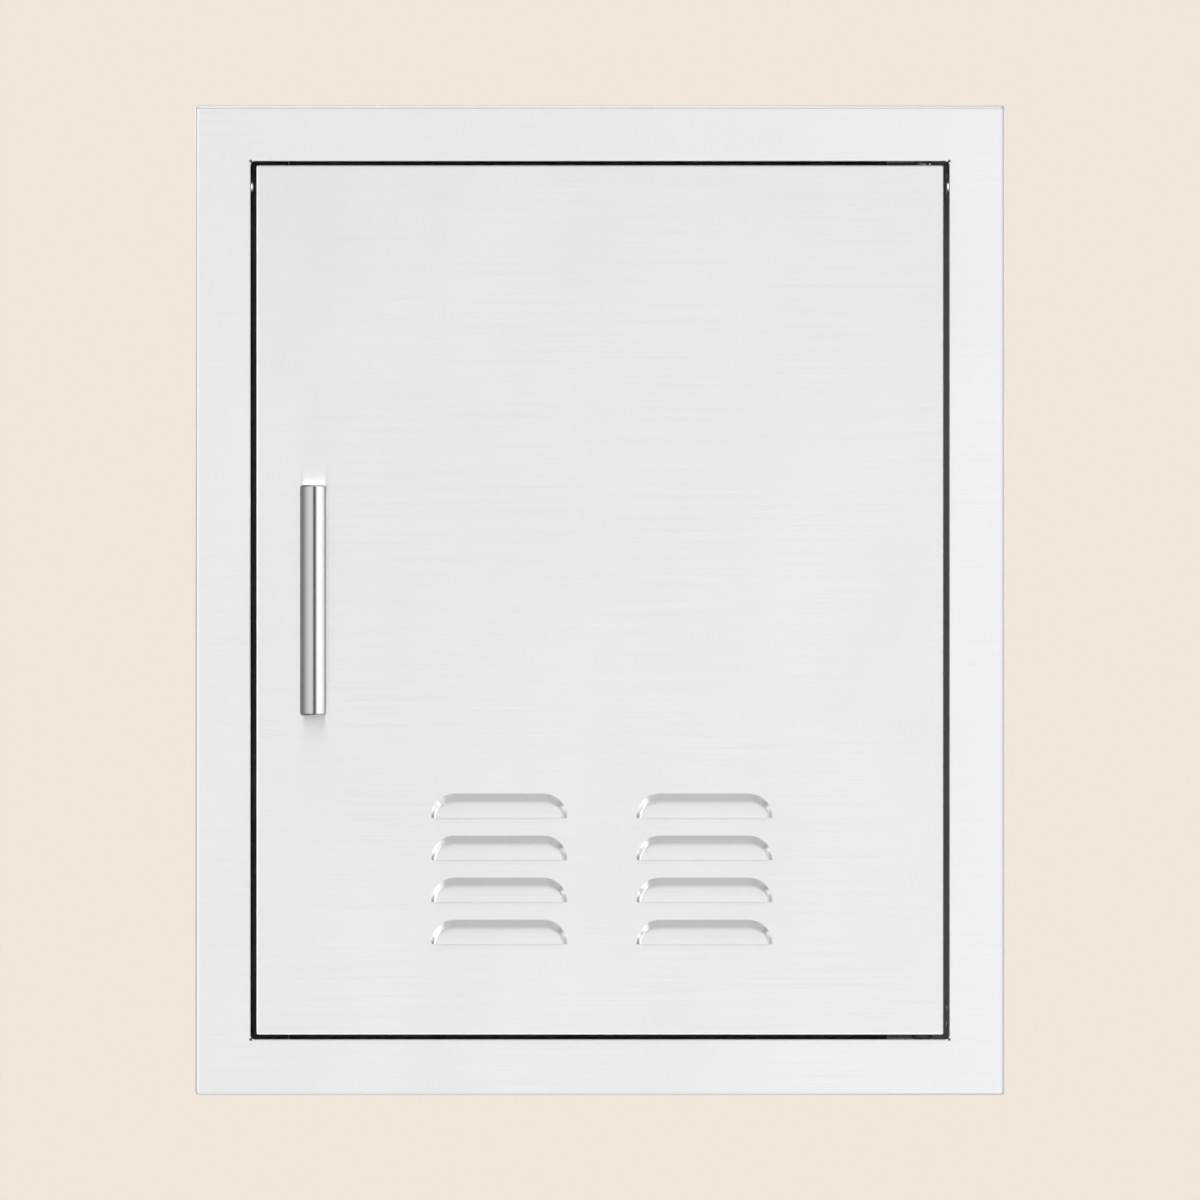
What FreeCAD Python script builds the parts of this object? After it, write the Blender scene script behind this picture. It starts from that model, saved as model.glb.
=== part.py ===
import FreeCAD, Part
import math
import os
import Sketcher

# Louvred access door for an outdoor kitchen island, 18 by 22 inches over its face frame.
# X runs to the right, Y back into the island and Z up, all in millimetres. The origin is the centre of
# the island's cut-out, on the island's face, so the frame's seat lip lies on Y = 0 and its face in front.

SIZES = [
    ("frame_width", 457.2, "face frame, overall width"),
    ("frame_height", 558.8, "face frame, overall height"),
    ("flange_width", 31.5, "flat face from the outer edge to the opening"),
    ("flange_depth", 8.0, "outer return, from the island's face to the front"),
    ("jamb_depth", 16.0, "jamb return, from the front of the face backwards"),
    ("seat_lip", 8.0, "lip of the outer return that lies on the island"),
    ("frame_sheet", 1.2, "sheet of the face frame"),
    ("bend_radius", 2.0, "outside radius of every other visible fold"),
    ("opening_bend", 1.2, "outside radius of the face frame's folds round the opening"),
    ("relief_radius", 1.3, "bend relief in each corner of the opening"),
    ("relief_shift", 0.3, "bend relief's centre, inside the opening's corner"),
    ("seam_gap", 0.4, "open seam between two jamb returns"),
    ("drain_length", 17.3, "drain slot in the top return"),
    ("drain_width", 3.2, "drain slot, front to back"),
    ("drain_setback", 0.8, "drain slot's front edge behind the face"),
    ("drain_left_x", -66.6, "centre of the left drain slot"),
    ("drain_right_x", 26.3, "centre of the right drain slot"),
    ("side_gap", 2.95, "gap beside the door"),
    ("top_gap", 2.15, "gap over the door"),
    ("bottom_gap", 2.5, "gap under the door"),
    ("door_sheet", 1.2, "sheet of the door skin"),
    ("skin_depth", 19.0, "door skin, front to back"),
    ("door_lip", 14.0, "rear lip of the door skin"),
    ("louvre_width", 76.9, "louvre over its pressed outline"),
    ("louvre_height", 14.0, "louvre from its lip to its top"),
    ("louvre_side", 0.5, "straight end of the louvre below its corner arc"),
    ("louvre_rise", 3.6, "how far the louvre stands out of the skin"),
    ("louvre_slope", 6.5, "width of the louvre's slope and its soft crown, seen from the front"),
    ("louvre_wall", 2.4, "wall of the pressed louvre's slope, seen from the front"),
    ("lance_gap", 0.15, "lanced cut under the louvre's lip"),
    ("louvre_pitch_x", 115.9, "from one column of louvres to the next"),
    ("louvre_pitch_z", 23.75, "from one row of louvres to the next"),
    ("louvre_shift", 0.95, "middle of the louvres, right of the door's middle"),
    ("louvre_foot", 51.2, "lowest lip above the door's bottom edge"),
    ("louvre_columns", 2, "columns of louvres"),
    ("louvre_rows", 4, "rows of louvres"),
    ("liner_sheet", 1.0, "sheet of the door liner"),
    ("liner_inset", 3.0, "liner's edge inside the door's edge"),
    ("liner_border", 20.0, "flat border, from the door's edge to the liner's recessed field"),
    ("field_depth", 3.0, "how far the liner's field is pressed towards the front"),
    ("field_corner", 8.0, "corner radius of the liner's field"),
    ("vent_length", 70.0, "vent slot in the liner"),
    ("vent_width", 9.0, "vent slot in the liner, across"),
    ("vent_lift", 6.5, "middle of the vent slot above the louvre's lip"),
    ("access_radius", 8.0, "hole in the liner over a handle screw"),
    ("liner_rivet_inset", 8.5, "liner rivet from the door's edge"),
    ("liner_rivet_corner", 20.5, "outermost side rivet from the door's top or bottom edge"),
    ("liner_rivet_pitch", 170.0, "between the two middle rivets of a side"),
    ("liner_rivet_spread", 130.0, "side rivets of the top and bottom rows from the middle one"),
    ("handle_inset", 32.6, "handle's middle from the door's left edge"),
    ("handle_length", 130.0, "handle bar, end to end"),
    ("handle_radius", 7.37, "handle bar"),
    ("handle_round", 1.6, "rounded rim of the bar's ends"),
    ("handle_reach", 32.0, "bar's axis in front of the door's face"),
    ("post_width", 12.7, "handle post, across its square section"),
    ("post_corner", 0.8, "rounded corners of the handle post"),
    ("post_inset", 6.75, "handle post's axis from the bar's end"),
    ("backer_width", 24.0, "backer plate behind the handle"),
    ("backer_margin", 14.0, "backer plate beyond each handle screw"),
    ("backer_sheet", 2.0, "backer plate, thickness"),
    ("handle_screw_radius", 2.5, "thread of the handle screw"),
    ("handle_screw_bite", 13.0, "handle screw's length in the post"),
    ("handle_head_radius", 4.75, "head of the handle screw"),
    ("handle_head_height", 3.2, "head of the handle screw"),
    ("washer_radius", 5.75, "handle washer"),
    ("washer_sheet", 1.0, "handle washer, thickness"),
    ("sleeve_sheet", 1.2, "sheet of the sleeve behind the frame"),
    ("sleeve_depth", 50.0, "sleeve behind the island's face"),
    ("sleeve_lip", 12.0, "lip turned in at the sleeve's rear"),
    ("sleeve_front_gap", 1.1, "sleeve's front edge behind the frame's inner fold"),
    ("tab_length", 24.0, "sleeve tab, up or down from its corner"),
    ("tab_depth", 10.0, "sleeve tab, front to back"),
    ("tab_setback", 3.0, "sleeve tab's rear edge in front of the sleeve's rear"),
    ("tab_rivet_first", 8.0, "first tab rivet from the sleeve's corner"),
    ("tab_rivet_pitch", 9.0, "from the first tab rivet to the second"),
    ("mount_hole_radius", 2.75, "mounting hole in the sleeve"),
    ("mount_hole_rise", 170.0, "mounting holes above and below the middle"),
    ("mount_hole_reach", 130.0, "mounting holes left and right of the middle"),
    ("mount_hole_y", 42.0, "mounting holes behind the island's face"),
    ("stop_sheet", 1.2, "sheet of the stop strips"),
    ("stop_ledge", 22.0, "stop strip's ledge, from the sleeve inwards"),
    ("stop_leg", 20.0, "stop strip's leg along the sleeve, front to back"),
    ("stop_end_gap", 0.5, "gap between two stop strips"),
    ("stop_hinge_gap", 20.0, "stop strips end this far short of the hinge axis"),
    ("ledge_clearance", 0.3, "strike plate in front of the ledge"),
    ("bumper_radius", 5.0, "rubber bumper"),
    ("bumper_clearance", 0.3, "door's back in front of the closed bumper"),
    ("bumper_inset", 13.1, "bumper's middle from the jamb"),
    ("bumper_rise", 150.0, "side bumpers above and below the middle"),
    ("bumper_reach", 65.0, "top and bottom bumpers left and right of the middle"),
    ("hinge_inset", 12.0, "hinge axis inside the door's right edge"),
    ("hinge_setback", 7.5, "hinge axis behind the door's face"),
    ("hinge_plate_sheet", 3.0, "hinge plate, thickness"),
    ("hinge_plate_left", 14.0, "hinge plate left of the axis"),
    ("hinge_plate_right", 12.0, "hinge plate right of the axis"),
    ("hinge_plate_depth", 13.0, "hinge plate, front to back"),
    ("plate_clearance", 0.5, "sleeve's notch around the hinge plate"),
    ("pin_radius", 3.0, "pivot pins"),
    ("pin_clearance", 0.05, "pivot pin in its bush and in its sliding holes"),
    ("pin_hole_clearance", 0.2, "pivot pin in the door skin"),
    ("pin_stickout", 0.5, "pivot pin beyond the hinge plate"),
    ("pin_chamfer", 0.8, "nose of a pivot pin"),
    ("pin_travel", 7.5, "how far the top pin slides down"),
    ("bush_radius", 4.0, "nylon bush"),
    ("bush_flange_radius", 5.0, "nylon bush, flange"),
    ("bush_flange", 1.0, "nylon bush, flange thickness"),
    ("thrust_radius", 6.0, "thrust washer under the door"),
    ("bracket_sheet", 2.0, "pin brackets, thickness"),
    ("bracket_reach", 8.0, "bracket arm beyond the hinge axis"),
    ("bracket_depth", 13.0, "brackets, front to back"),
    ("bracket_bend", 2.5, "outside radius of the brackets' folds"),
    ("bracket_front_gap", 0.5, "brackets behind the skin's inner fold"),
    ("top_bracket_height", 44.0, "top pin bracket"),
    ("bottom_bracket_height", 26.0, "bottom pin bracket"),
    ("bottom_pin_end", 2.0, "bottom pin above its bracket"),
    ("collar_radius", 5.0, "collar on the top pin"),
    ("collar_height", 3.0, "collar on the top pin"),
    ("collar_clearance", 0.2, "collar below the bracket's upper arm"),
    ("spring_radius", 4.2, "mean radius of the pin spring"),
    ("wire_radius", 0.45, "wire of the pin spring"),
    ("spring_turns", 8, "turns of the pin spring"),
    ("pull_width", 10.0, "finger tab on the top pin"),
    ("pull_sheet", 2.0, "finger tab, thickness"),
    ("pull_gap", 11.5, "finger tab below the top pin bracket"),
    ("pull_reach", 12.0, "finger tab behind the door's back"),
    ("pull_turn_down", 10.0, "finger tab's turned-down end"),
    ("pull_clearance", 1.0, "slot around the finger tab"),
    ("rivet_radius", 1.6, "shank of every rivet"),
    ("rivet_clearance", 0.05, "rivet or screw in its hole"),
    ("rivet_tail_radius", 2.5, "set tail of a rivet"),
    ("rivet_tail_height", 0.8, "set tail of a rivet"),
    ("low_head_radius", 3.0, "low rivet head"),
    ("low_head_height", 0.8, "low rivet head"),
    ("jamb_head_radius", 2.8, "jamb rivet, head"),
    ("jamb_head_height", 1.2, "jamb rivet, head"),
    ("jamb_rivet_y", 3.0, "jamb rivet behind the island's face"),
    ("jamb_rivet_drop", 14.0, "jamb rivet below the opening's top"),
    ("catch_offset", 14.3, "middle of the catch from the sleeve's wall"),
    ("catch_cheek", 8.0, "catch housing, from its middle to its free side"),
    ("catch_setback", 0.3, "catch housing behind the ledge"),
    ("catch_depth", 18.0, "catch housing, front to back"),
    ("catch_height", 40.0, "catch housing without its ears"),
    ("ear_length", 12.0, "ear of the catch housing"),
    ("ear_sheet", 3.0, "ear of the catch housing, thickness"),
    ("ear_depth", 14.0, "ear of the catch housing, front to back"),
    ("magnet_sheet", 4.0, "magnet between the pole plates"),
    ("magnet_recess", 2.6, "magnet behind the pole plates' front edges"),
    ("magnet_height", 30.0, "magnet and pole plates, up and down"),
    ("pole_sheet", 1.5, "pole plate"),
    ("pole_depth", 15.0, "pole plate, front to back"),
    ("catch_gap", 0.2, "pole plates behind the strike plate"),
    ("window_clearance", 1.0, "window in the ledge around the pole plates"),
    ("catch_screw_radius", 1.75, "screw of the catch"),
    ("catch_screw_end", 1.3, "screw of the catch beyond the sleeve"),
    ("catch_screw_head", 3.4, "screw of the catch, head radius"),
    ("catch_head_height", 2.2, "screw of the catch, head height"),
    ("catch_screw_inset", 5.5, "screw of the catch from its ear's end"),
    ("strike_sheet", 1.2, "strike plate"),
    ("strike_width", 13.0, "strike plate, side to side"),
    ("strike_height", 52.0, "strike plate, up and down"),
    ("strike_rivet_inset", 5.5, "flush rivet from the strike plate's end"),
    ("flush_head_radius", 2.9, "flush rivet, head"),
]

doc = FreeCAD.newDocument("access_door")
sheet = doc.addObject("Spreadsheet::Sheet", "sizes")
for row, (alias, value, note) in enumerate(SIZES, start=1):
    sheet.set("A%d" % row, alias)
    sheet.set("B%d" % row, str(value))
    sheet.set("C%d" % row, note)
    sheet.setAlias("B%d" % row, alias)
doc.recompute()


class Size:
    """A cell of the sheet, or a sum worked out from cells, kept as the expression that gives it."""

    def __init__(self, text):
        self.text = str(text)

    def __str__(self):
        return self.text

    def __float__(self):
        return float(sheet.evalExpression(self.text))

    def __neg__(self):
        return Size("(0 - %s)" % self)

    def __add__(self, other):
        return Size("(%s + %s)" % (self, other))

    def __radd__(self, other):
        return Size("(%s + %s)" % (other, self))

    def __sub__(self, other):
        return Size("(%s - %s)" % (self, other))

    def __rsub__(self, other):
        return Size("(%s - %s)" % (other, self))

    def __mul__(self, other):
        return Size("(%s * %s)" % (self, other))

    def __rmul__(self, other):
        return Size("(%s * %s)" % (other, self))

    def __truediv__(self, other):
        return Size("(%s / %s)" % (self, other))


class Cells:
    """Gives each alias of the sheet as a Size."""

    def __getattr__(self, alias):
        return Size("sizes." + alias)


def inside_of(outside_radius, sheet_size):
    """Inside radius of a fold, which never closes up altogether."""
    return Size("max(%s; 0.2)" % (outside_radius - sheet_size))


s = Cells()

# Places that several pieces share.
THROUGH = 1.0                                       # a cutter reaches this far past what it cuts
frame_x = s.frame_width / 2
frame_z = s.frame_height / 2
open_x = frame_x - s.flange_width
open_z = frame_z - s.flange_width
jamb_x = open_x + s.frame_sheet
jamb_z = open_z + s.frame_sheet
front_y = -s.flange_depth
flange_back_y = front_y + s.frame_sheet
jamb_rear_y = front_y + s.jamb_depth
inner_bend = inside_of(s.bend_radius, s.frame_sheet)
opening_inner_bend = inside_of(s.opening_bend, s.frame_sheet)
door_inner_bend = inside_of(s.bend_radius, s.door_sheet)

door_x = open_x - s.side_gap
door_top = open_z - s.top_gap
door_bottom = -(open_z - s.bottom_gap)
skin_inner_y = front_y + s.door_sheet
skin_back_y = front_y + s.skin_depth
door_back_y = skin_back_y + s.liner_sheet
lip_inner_y = skin_back_y - s.door_sheet

sleeve_front_y = flange_back_y + opening_inner_bend + s.sleeve_front_gap
sleeve_rear_y = s.sleeve_depth
sleeve_x = jamb_x + s.sleeve_sheet
sleeve_z = jamb_z + s.sleeve_sheet
tab_rear_y = sleeve_rear_y - s.tab_setback
tab_front_y = tab_rear_y - s.tab_depth
ledge_front_y = door_back_y + s.strike_sheet + s.ledge_clearance
ledge_back_y = ledge_front_y + s.stop_sheet
leg_inner_x = jamb_x - s.stop_sheet
leg_inner_z = jamb_z - s.stop_sheet

hinge_x = door_x - s.hinge_inset
hinge_y = front_y + s.hinge_setback
plate_top_z = jamb_z + s.hinge_plate_sheet
handle_x = -door_x + s.handle_inset
handle_y = front_y - s.handle_reach
catch_x = -jamb_x + s.catch_offset

DIRECTIONS = {
    "+X": FreeCAD.Rotation(FreeCAD.Vector(0, 1, 0), 90),
    "-X": FreeCAD.Rotation(FreeCAD.Vector(0, 1, 0), -90),
    "+Y": FreeCAD.Rotation(FreeCAD.Vector(1, 0, 0), -90),
    "-Y": FreeCAD.Rotation(FreeCAD.Vector(1, 0, 0), 90),
    "+Z": FreeCAD.Rotation(),
    "-Z": FreeCAD.Rotation(FreeCAD.Vector(1, 0, 0), 180),
}
pieces = {}


def finish(name, item):
    """Give the finished piece its name and keep it for the STEP files."""
    item.Label = name
    pieces[name] = item
    return item


# Sketches and features of folded sheet pieces.

def new_body(name):
    return doc.addObject("PartDesign::Body", name + "_body")


def sketch_on(body, role, level=0):
    """A sketch on one of the body's origin planes, moved to a level along +X, +Y or +Z."""
    plane = [item for item in body.Origin.OriginFeatures if item.Role == role][0]
    sketch = body.newObject("Sketcher::SketchObject", body.Name + "_sketch")
    sketch.AttachmentSupport = [(plane, "")]
    sketch.MapMode = "FlatFace"
    offset = -level if role == "XZ_Plane" else level
    sketch.setExpression("AttachmentOffset.Base.z", str(offset))
    return sketch


def pin_down(sketch, kind, item, point, value):
    """Fix one coordinate of a point in the sketch to an expression."""
    index = sketch.addConstraint(Sketcher.Constraint(kind, -1, 1, item, point, float(value)))
    sketch.setExpression("Constraints[%d]" % index, str(value))


def outline(sketch, corners):
    """Draw a closed outline, anticlockwise. A corner is its place, and a second place where the side that
    starts there is an arc round that centre."""
    first = sketch.GeometryCount
    count = len(corners)
    places = [FreeCAD.Vector(float(corner[0][0]), float(corner[0][1]), 0) for corner in corners]
    for index, corner in enumerate(corners):
        start = places[index]
        end = places[(index + 1) % count]
        if len(corner) == 1:
            sketch.addGeometry(Part.LineSegment(start, end))
            continue
        centre = FreeCAD.Vector(float(corner[1][0]), float(corner[1][1]), 0)
        begin = math.atan2(start.y - centre.y, start.x - centre.x)
        finish_angle = math.atan2(end.y - centre.y, end.x - centre.x)
        circle = Part.Circle(centre, FreeCAD.Vector(0, 0, 1), start.distanceToPoint(centre))
        sketch.addGeometry(Part.ArcOfCircle(circle, begin, finish_angle))
    for index in range(count):
        following = first + (index + 1) % count
        sketch.addConstraint(Sketcher.Constraint("Coincident", first + index, 2, following, 1))
    for index, corner in enumerate(corners):
        pin_down(sketch, "DistanceX", first + index, 1, corner[0][0])
        pin_down(sketch, "DistanceY", first + index, 1, corner[0][1])
        if len(corner) == 2:
            chord = places[(index + 1) % count] - places[index]
            across = abs(chord.x) > abs(chord.y)
            kind = "DistanceY" if across else "DistanceX"
            pin_down(sketch, kind, first + index, 3, corner[1][1 if across else 0])


def rectangle(sketch, left, bottom, right, top):
    outline(sketch, [((left, bottom),), ((right, bottom),), ((right, top),), ((left, top),)])


def rounded_rectangle(sketch, left, bottom, right, top, radius):
    west, east, south, north = left + radius, right - radius, bottom + radius, top - radius
    outline(sketch, [
        ((west, bottom),), ((east, bottom), (east, south)),
        ((right, south),), ((right, north), (east, north)),
        ((east, top),), ((west, top), (west, north)),
        ((left, north),), ((left, south), (west, south)),
    ])


def centred_rectangle(sketch, half_width, half_height):
    rectangle(sketch, -half_width, -half_height, half_width, half_height)


def slot(sketch, centre_x, centre_z, length, width):
    """A level slot with round ends."""
    right = centre_x + (length - width) / 2
    left = centre_x - (length - width) / 2
    low = centre_z - width / 2
    high = centre_z + width / 2
    outline(sketch, [
        ((left, low),), ((right, low), (right, centre_z)),
        ((right, high),), ((left, high), (left, centre_z)),
    ])


def circle_in(sketch, centre_x, centre_z, radius):
    """A round hole."""
    middle = FreeCAD.Vector(float(centre_x), float(centre_z), 0)
    item = sketch.addGeometry(Part.Circle(middle, FreeCAD.Vector(0, 0, 1), float(radius)))
    pin_down(sketch, "DistanceX", item, 3, centre_x)
    pin_down(sketch, "DistanceY", item, 3, centre_z)
    index = sketch.addConstraint(Sketcher.Constraint("Radius", item, float(radius)))
    sketch.setExpression("Constraints[%d]" % index, str(radius))


def body_of(sketch):
    return sketch.getParentGeoFeatureGroup()


def pad(sketch, length, way, both_ways=False):
    """Add sheet from the sketch, the way that the sign and axis say."""
    body = body_of(sketch)
    feature = body.newObject("PartDesign::Pad", body.Name + "_pad")
    feature.Profile = sketch
    feature.setExpression("Length", str(length))
    feature.Midplane = both_ways
    feature.Reversed = (way == "+Y") or way in ("-X", "-Z")
    doc.recompute()
    return feature


def pocket(sketch, depth, way):
    """Cut from the sketch, the way that the sign and axis say, and make sure that it cuts."""
    body = body_of(sketch)
    before = body.Shape.Volume
    feature = body.newObject("PartDesign::Pocket", body.Name + "_pocket")
    feature.Profile = sketch
    feature.setExpression("Length", str(depth))
    feature.Reversed = (way == "-Y") or way in ("+X", "+Z")
    doc.recompute()
    if not body.Shape.Volume < before:
        raise RuntimeError("a pocket in %s cuts nothing" % body.Name)
    return feature


def edges_on(shape, x=None, y=None, z=None):
    """Names of the straight edges that lie on one of the given levels of every axis given."""
    names = []
    for number, edge in enumerate(shape.Edges, start=1):
        box = edge.BoundBox
        spans = {"x": (box.XMin, box.XMax), "y": (box.YMin, box.YMax), "z": (box.ZMin, box.ZMax)}
        wanted = {"x": x, "y": y, "z": z}
        fits = True
        for axis, levels in wanted.items():
            if levels is None:
                continue
            low, high = spans[axis]
            fits = fits and any(abs(low - float(v)) < 0.01 and abs(high - float(v)) < 0.01 for v in levels)
        if fits:
            names.append("Edge%d" % number)
    return names


def fillet(body, radius, names):
    base = body.Tip
    feature = body.newObject("PartDesign::Fillet", body.Name + "_fold")
    feature.Base = (base, sorted(set(names)))
    feature.setExpression("Radius", str(radius))
    doc.recompute()
    return feature


def fold_box(body, radius, xs, ys, zs):
    """Round the edges of a box that is given by its levels on the three axes."""
    shape = body.Shape
    names = edges_on(shape, x=xs, y=ys) + edges_on(shape, y=ys, z=zs) + edges_on(shape, x=xs, z=zs)
    return fillet(body, radius, names)


# Blocks, rods and other turned pieces.

def put(item, x, y, z, way="+Z"):
    """Place an item by expressions, with its own Z axis along the way given."""
    item.Placement = FreeCAD.Placement(FreeCAD.Vector(), DIRECTIONS[way])
    item.setExpression("Placement.Base.x", str(x))
    item.setExpression("Placement.Base.y", str(y))
    item.setExpression("Placement.Base.z", str(z))
    return item


def block(x, y, z):
    """A block between two levels on each axis."""
    item = doc.addObject("Part::Box", "block")
    item.setExpression("Length", str(x[1] - x[0]))
    item.setExpression("Width", str(y[1] - y[0]))
    item.setExpression("Height", str(z[1] - z[0]))
    return put(item, x[0], y[0], z[0])


def rod(start, way, length, radius):
    item = doc.addObject("Part::Cylinder", "rod")
    item.setExpression("Radius", str(radius))
    item.setExpression("Height", str(length))
    return put(item, *start, way)


def cone(start, way, length, start_radius, end_radius):
    item = doc.addObject("Part::Cone", "cone")
    item.setExpression("Radius1", str(start_radius))
    item.setExpression("Radius2", str(end_radius))
    item.setExpression("Height", str(length))
    return put(item, *start, way)


def dome(seat, way, radius, rise):
    """A low round head that stands on its seat."""
    ball = (radius * radius + rise * rise) / (2 * rise)
    item = doc.addObject("Part::Sphere", "dome")
    item.setExpression("Radius", str(ball))
    item.setExpression("Angle1", "asin(%s)" % ((ball - rise) / ball))
    sink = ball - rise
    sign = 1 if way[0] == "+" else -1
    place = [seat[axis] - sink * sign if name == way[1] else seat[axis] for axis, name in enumerate("XYZ")]
    return put(item, *place, way)


def fuse(*items):
    item = doc.addObject("Part::MultiFuse", "fused")
    item.Shapes = list(items)
    return item


def group(*items):
    item = doc.addObject("Part::Compound", "group")
    item.Links = list(items)
    return item


def cut(base, *tools):
    item = doc.addObject("Part::Cut", "cut")
    item.Base = base
    item.Tool = tools[0] if len(tools) == 1 else group(*tools)
    return item


# Places of the fasteners, which the sheets that they pass read too.
jamb_rivet_z = open_z - s.jamb_rivet_drop
tab_rivet_zs = [jamb_z - s.tab_rivet_first, jamb_z - s.tab_rivet_first - s.tab_rivet_pitch]
tab_rivet_places = [(side, up * z) for side in (-1, 1) for up in (-1, 1) for z in tab_rivet_zs]
tab_rivet_y = (tab_front_y + tab_rear_y) / 2

rivet_x = door_x - s.liner_rivet_inset
side_rivet_zs = [
    door_top - s.liner_rivet_corner, s.liner_rivet_pitch / 2,
    -s.liner_rivet_pitch / 2, door_bottom + s.liner_rivet_corner,
]
liner_rivet_places = [(side * rivet_x, z) for side in (-1, 1) for z in side_rivet_zs]
for row_z in (door_top - s.liner_rivet_inset, door_bottom + s.liner_rivet_inset):
    liner_rivet_places += [(step * s.liner_rivet_spread, row_z) for step in (-1, 0, 1)]

strike_rivet_zs = [side * (s.strike_height / 2 - s.strike_rivet_inset) for side in (-1, 1)]
post_z = s.handle_length / 2 - s.post_inset
handle_zs = [-post_z, post_z]
catch_screw_y = ledge_back_y + s.catch_setback + s.catch_depth / 2
catch_screw_zs = [side * (s.catch_height / 2 + s.ear_length - s.catch_screw_inset) for side in (-1, 1)]


# Face frame: one sheet with outer returns, seat lip and jamb returns.

def make_face_frame():
    body = new_body("face_frame")
    face = sketch_on(body, "XZ_Plane")
    centred_rectangle(face, frame_x, frame_z)
    centred_rectangle(face, open_x, open_z)
    pad(face, s.flange_depth, "-Y")
    jambs = sketch_on(body, "XZ_Plane")
    centred_rectangle(jambs, jamb_x, jamb_z)
    centred_rectangle(jambs, open_x, open_z)
    pad(jambs, jamb_rear_y, "+Y")
    names = edges_on(body.Shape, x=[-frame_x, frame_x], y=[front_y])
    names += edges_on(body.Shape, y=[front_y], z=[-frame_z, frame_z])
    names += edges_on(body.Shape, x=[-frame_x, frame_x], z=[-frame_z, frame_z])
    fillet(body, s.bend_radius, names)
    names = edges_on(body.Shape, x=[-open_x, open_x], y=[front_y])
    names += edges_on(body.Shape, y=[front_y], z=[-open_z, open_z])
    fillet(body, s.opening_bend, names)
    mouth = sketch_on(body, "XZ_Plane")
    centred_rectangle(mouth, frame_x - s.seat_lip, frame_z - s.seat_lip)
    centred_rectangle(mouth, jamb_x, jamb_z)
    pocket(mouth, s.frame_sheet, "-Y")
    channel = sketch_on(body, "XZ_Plane", -s.frame_sheet)
    inner_x = frame_x - s.frame_sheet
    inner_z = frame_z - s.frame_sheet
    centred_rectangle(channel, inner_x, inner_z)
    centred_rectangle(channel, jamb_x, jamb_z)
    pocket(channel, s.flange_depth - 2 * s.frame_sheet, "-Y")
    names = edges_on(body.Shape, x=[-inner_x, inner_x], y=[flange_back_y])
    names += edges_on(body.Shape, y=[flange_back_y], z=[-inner_z, inner_z])
    names += edges_on(body.Shape, x=[-inner_x, inner_x], z=[-inner_z, inner_z])
    fillet(body, inner_bend, names)
    names = edges_on(body.Shape, x=[-jamb_x, jamb_x], y=[flange_back_y])
    names += edges_on(body.Shape, y=[flange_back_y], z=[-jamb_z, jamb_z])
    fillet(body, opening_inner_bend, names)

    cutters = []
    for x_side in (-1, 1):
        for z_side in (-1, 1):
            corner_x = x_side * (open_x - s.relief_shift)
            corner_z = z_side * (open_z - s.relief_shift)
            start = (corner_x, front_y - THROUGH, corner_z)
            cutters.append(rod(start, "+Y", s.frame_sheet + 2 * THROUGH, s.relief_radius))
            seam_x = sorted([x_side * (open_x - s.seam_gap), x_side * (jamb_x + s.seam_gap)], key=float)
            seam_z = sorted([z_side * (open_z - s.seam_gap), z_side * (jamb_z + s.seam_gap)], key=float)
            cutters.append(block(seam_x, (flange_back_y, jamb_rear_y + THROUGH), seam_z))
    for middle in (s.drain_left_x, s.drain_right_x):
        x = (middle - s.drain_length / 2, middle + s.drain_length / 2)
        y = (front_y + s.drain_setback, front_y + s.drain_setback + s.drain_width)
        cutters.append(block(x, y, (frame_z - s.frame_sheet - THROUGH / 2, frame_z + THROUGH)))
    through_jamb = s.frame_sheet + THROUGH
    cutters.append(rod((hinge_x, hinge_y, open_z - THROUGH / 2), "+Z", through_jamb, s.bush_radius))
    cutters.append(rod((hinge_x, hinge_y, -open_z + THROUGH / 2), "-Z", through_jamb, s.bush_radius))
    hole = s.rivet_radius + s.rivet_clearance
    cutters.append(rod((open_x - THROUGH / 2, s.jamb_rivet_y, jamb_rivet_z), "+X", through_jamb, hole))
    cutters.append(rod((-open_x + THROUGH / 2, s.jamb_rivet_y, jamb_rivet_z), "-X", through_jamb, hole))
    finish("face_frame", cut(body, *cutters))


# Jamb rivets: they tie the frame to the sleeve and show in the side gaps.

def rivet(seat, way, grip, head_radius, head_height):
    """A domed rivet. The way runs from the seat, where the head lies, through the sheets."""
    out = {"+": "-", "-": "+"}[way[0]] + way[1]
    sign = 1 if way[0] == "+" else -1
    far = [seat[axis] + grip * sign if name == way[1] else seat[axis] for axis, name in enumerate("XYZ")]
    return fuse(
        dome(seat, out, head_radius, head_height),
        rod(seat, way, grip, s.rivet_radius),
        rod(far, way, s.rivet_tail_height, s.rivet_tail_radius),
    )


def make_jamb_rivets():
    grip = s.frame_sheet + s.sleeve_sheet
    head = (s.jamb_head_radius, s.jamb_head_height)
    finish("jamb_rivets", group(
        rivet((-open_x, s.jamb_rivet_y, jamb_rivet_z), "-X", grip, *head),
        rivet((open_x, s.jamb_rivet_y, jamb_rivet_z), "+X", grip, *head),
    ))


# Sleeve: four panels that line the island's cut-out. The side panels run the full height.

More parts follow.
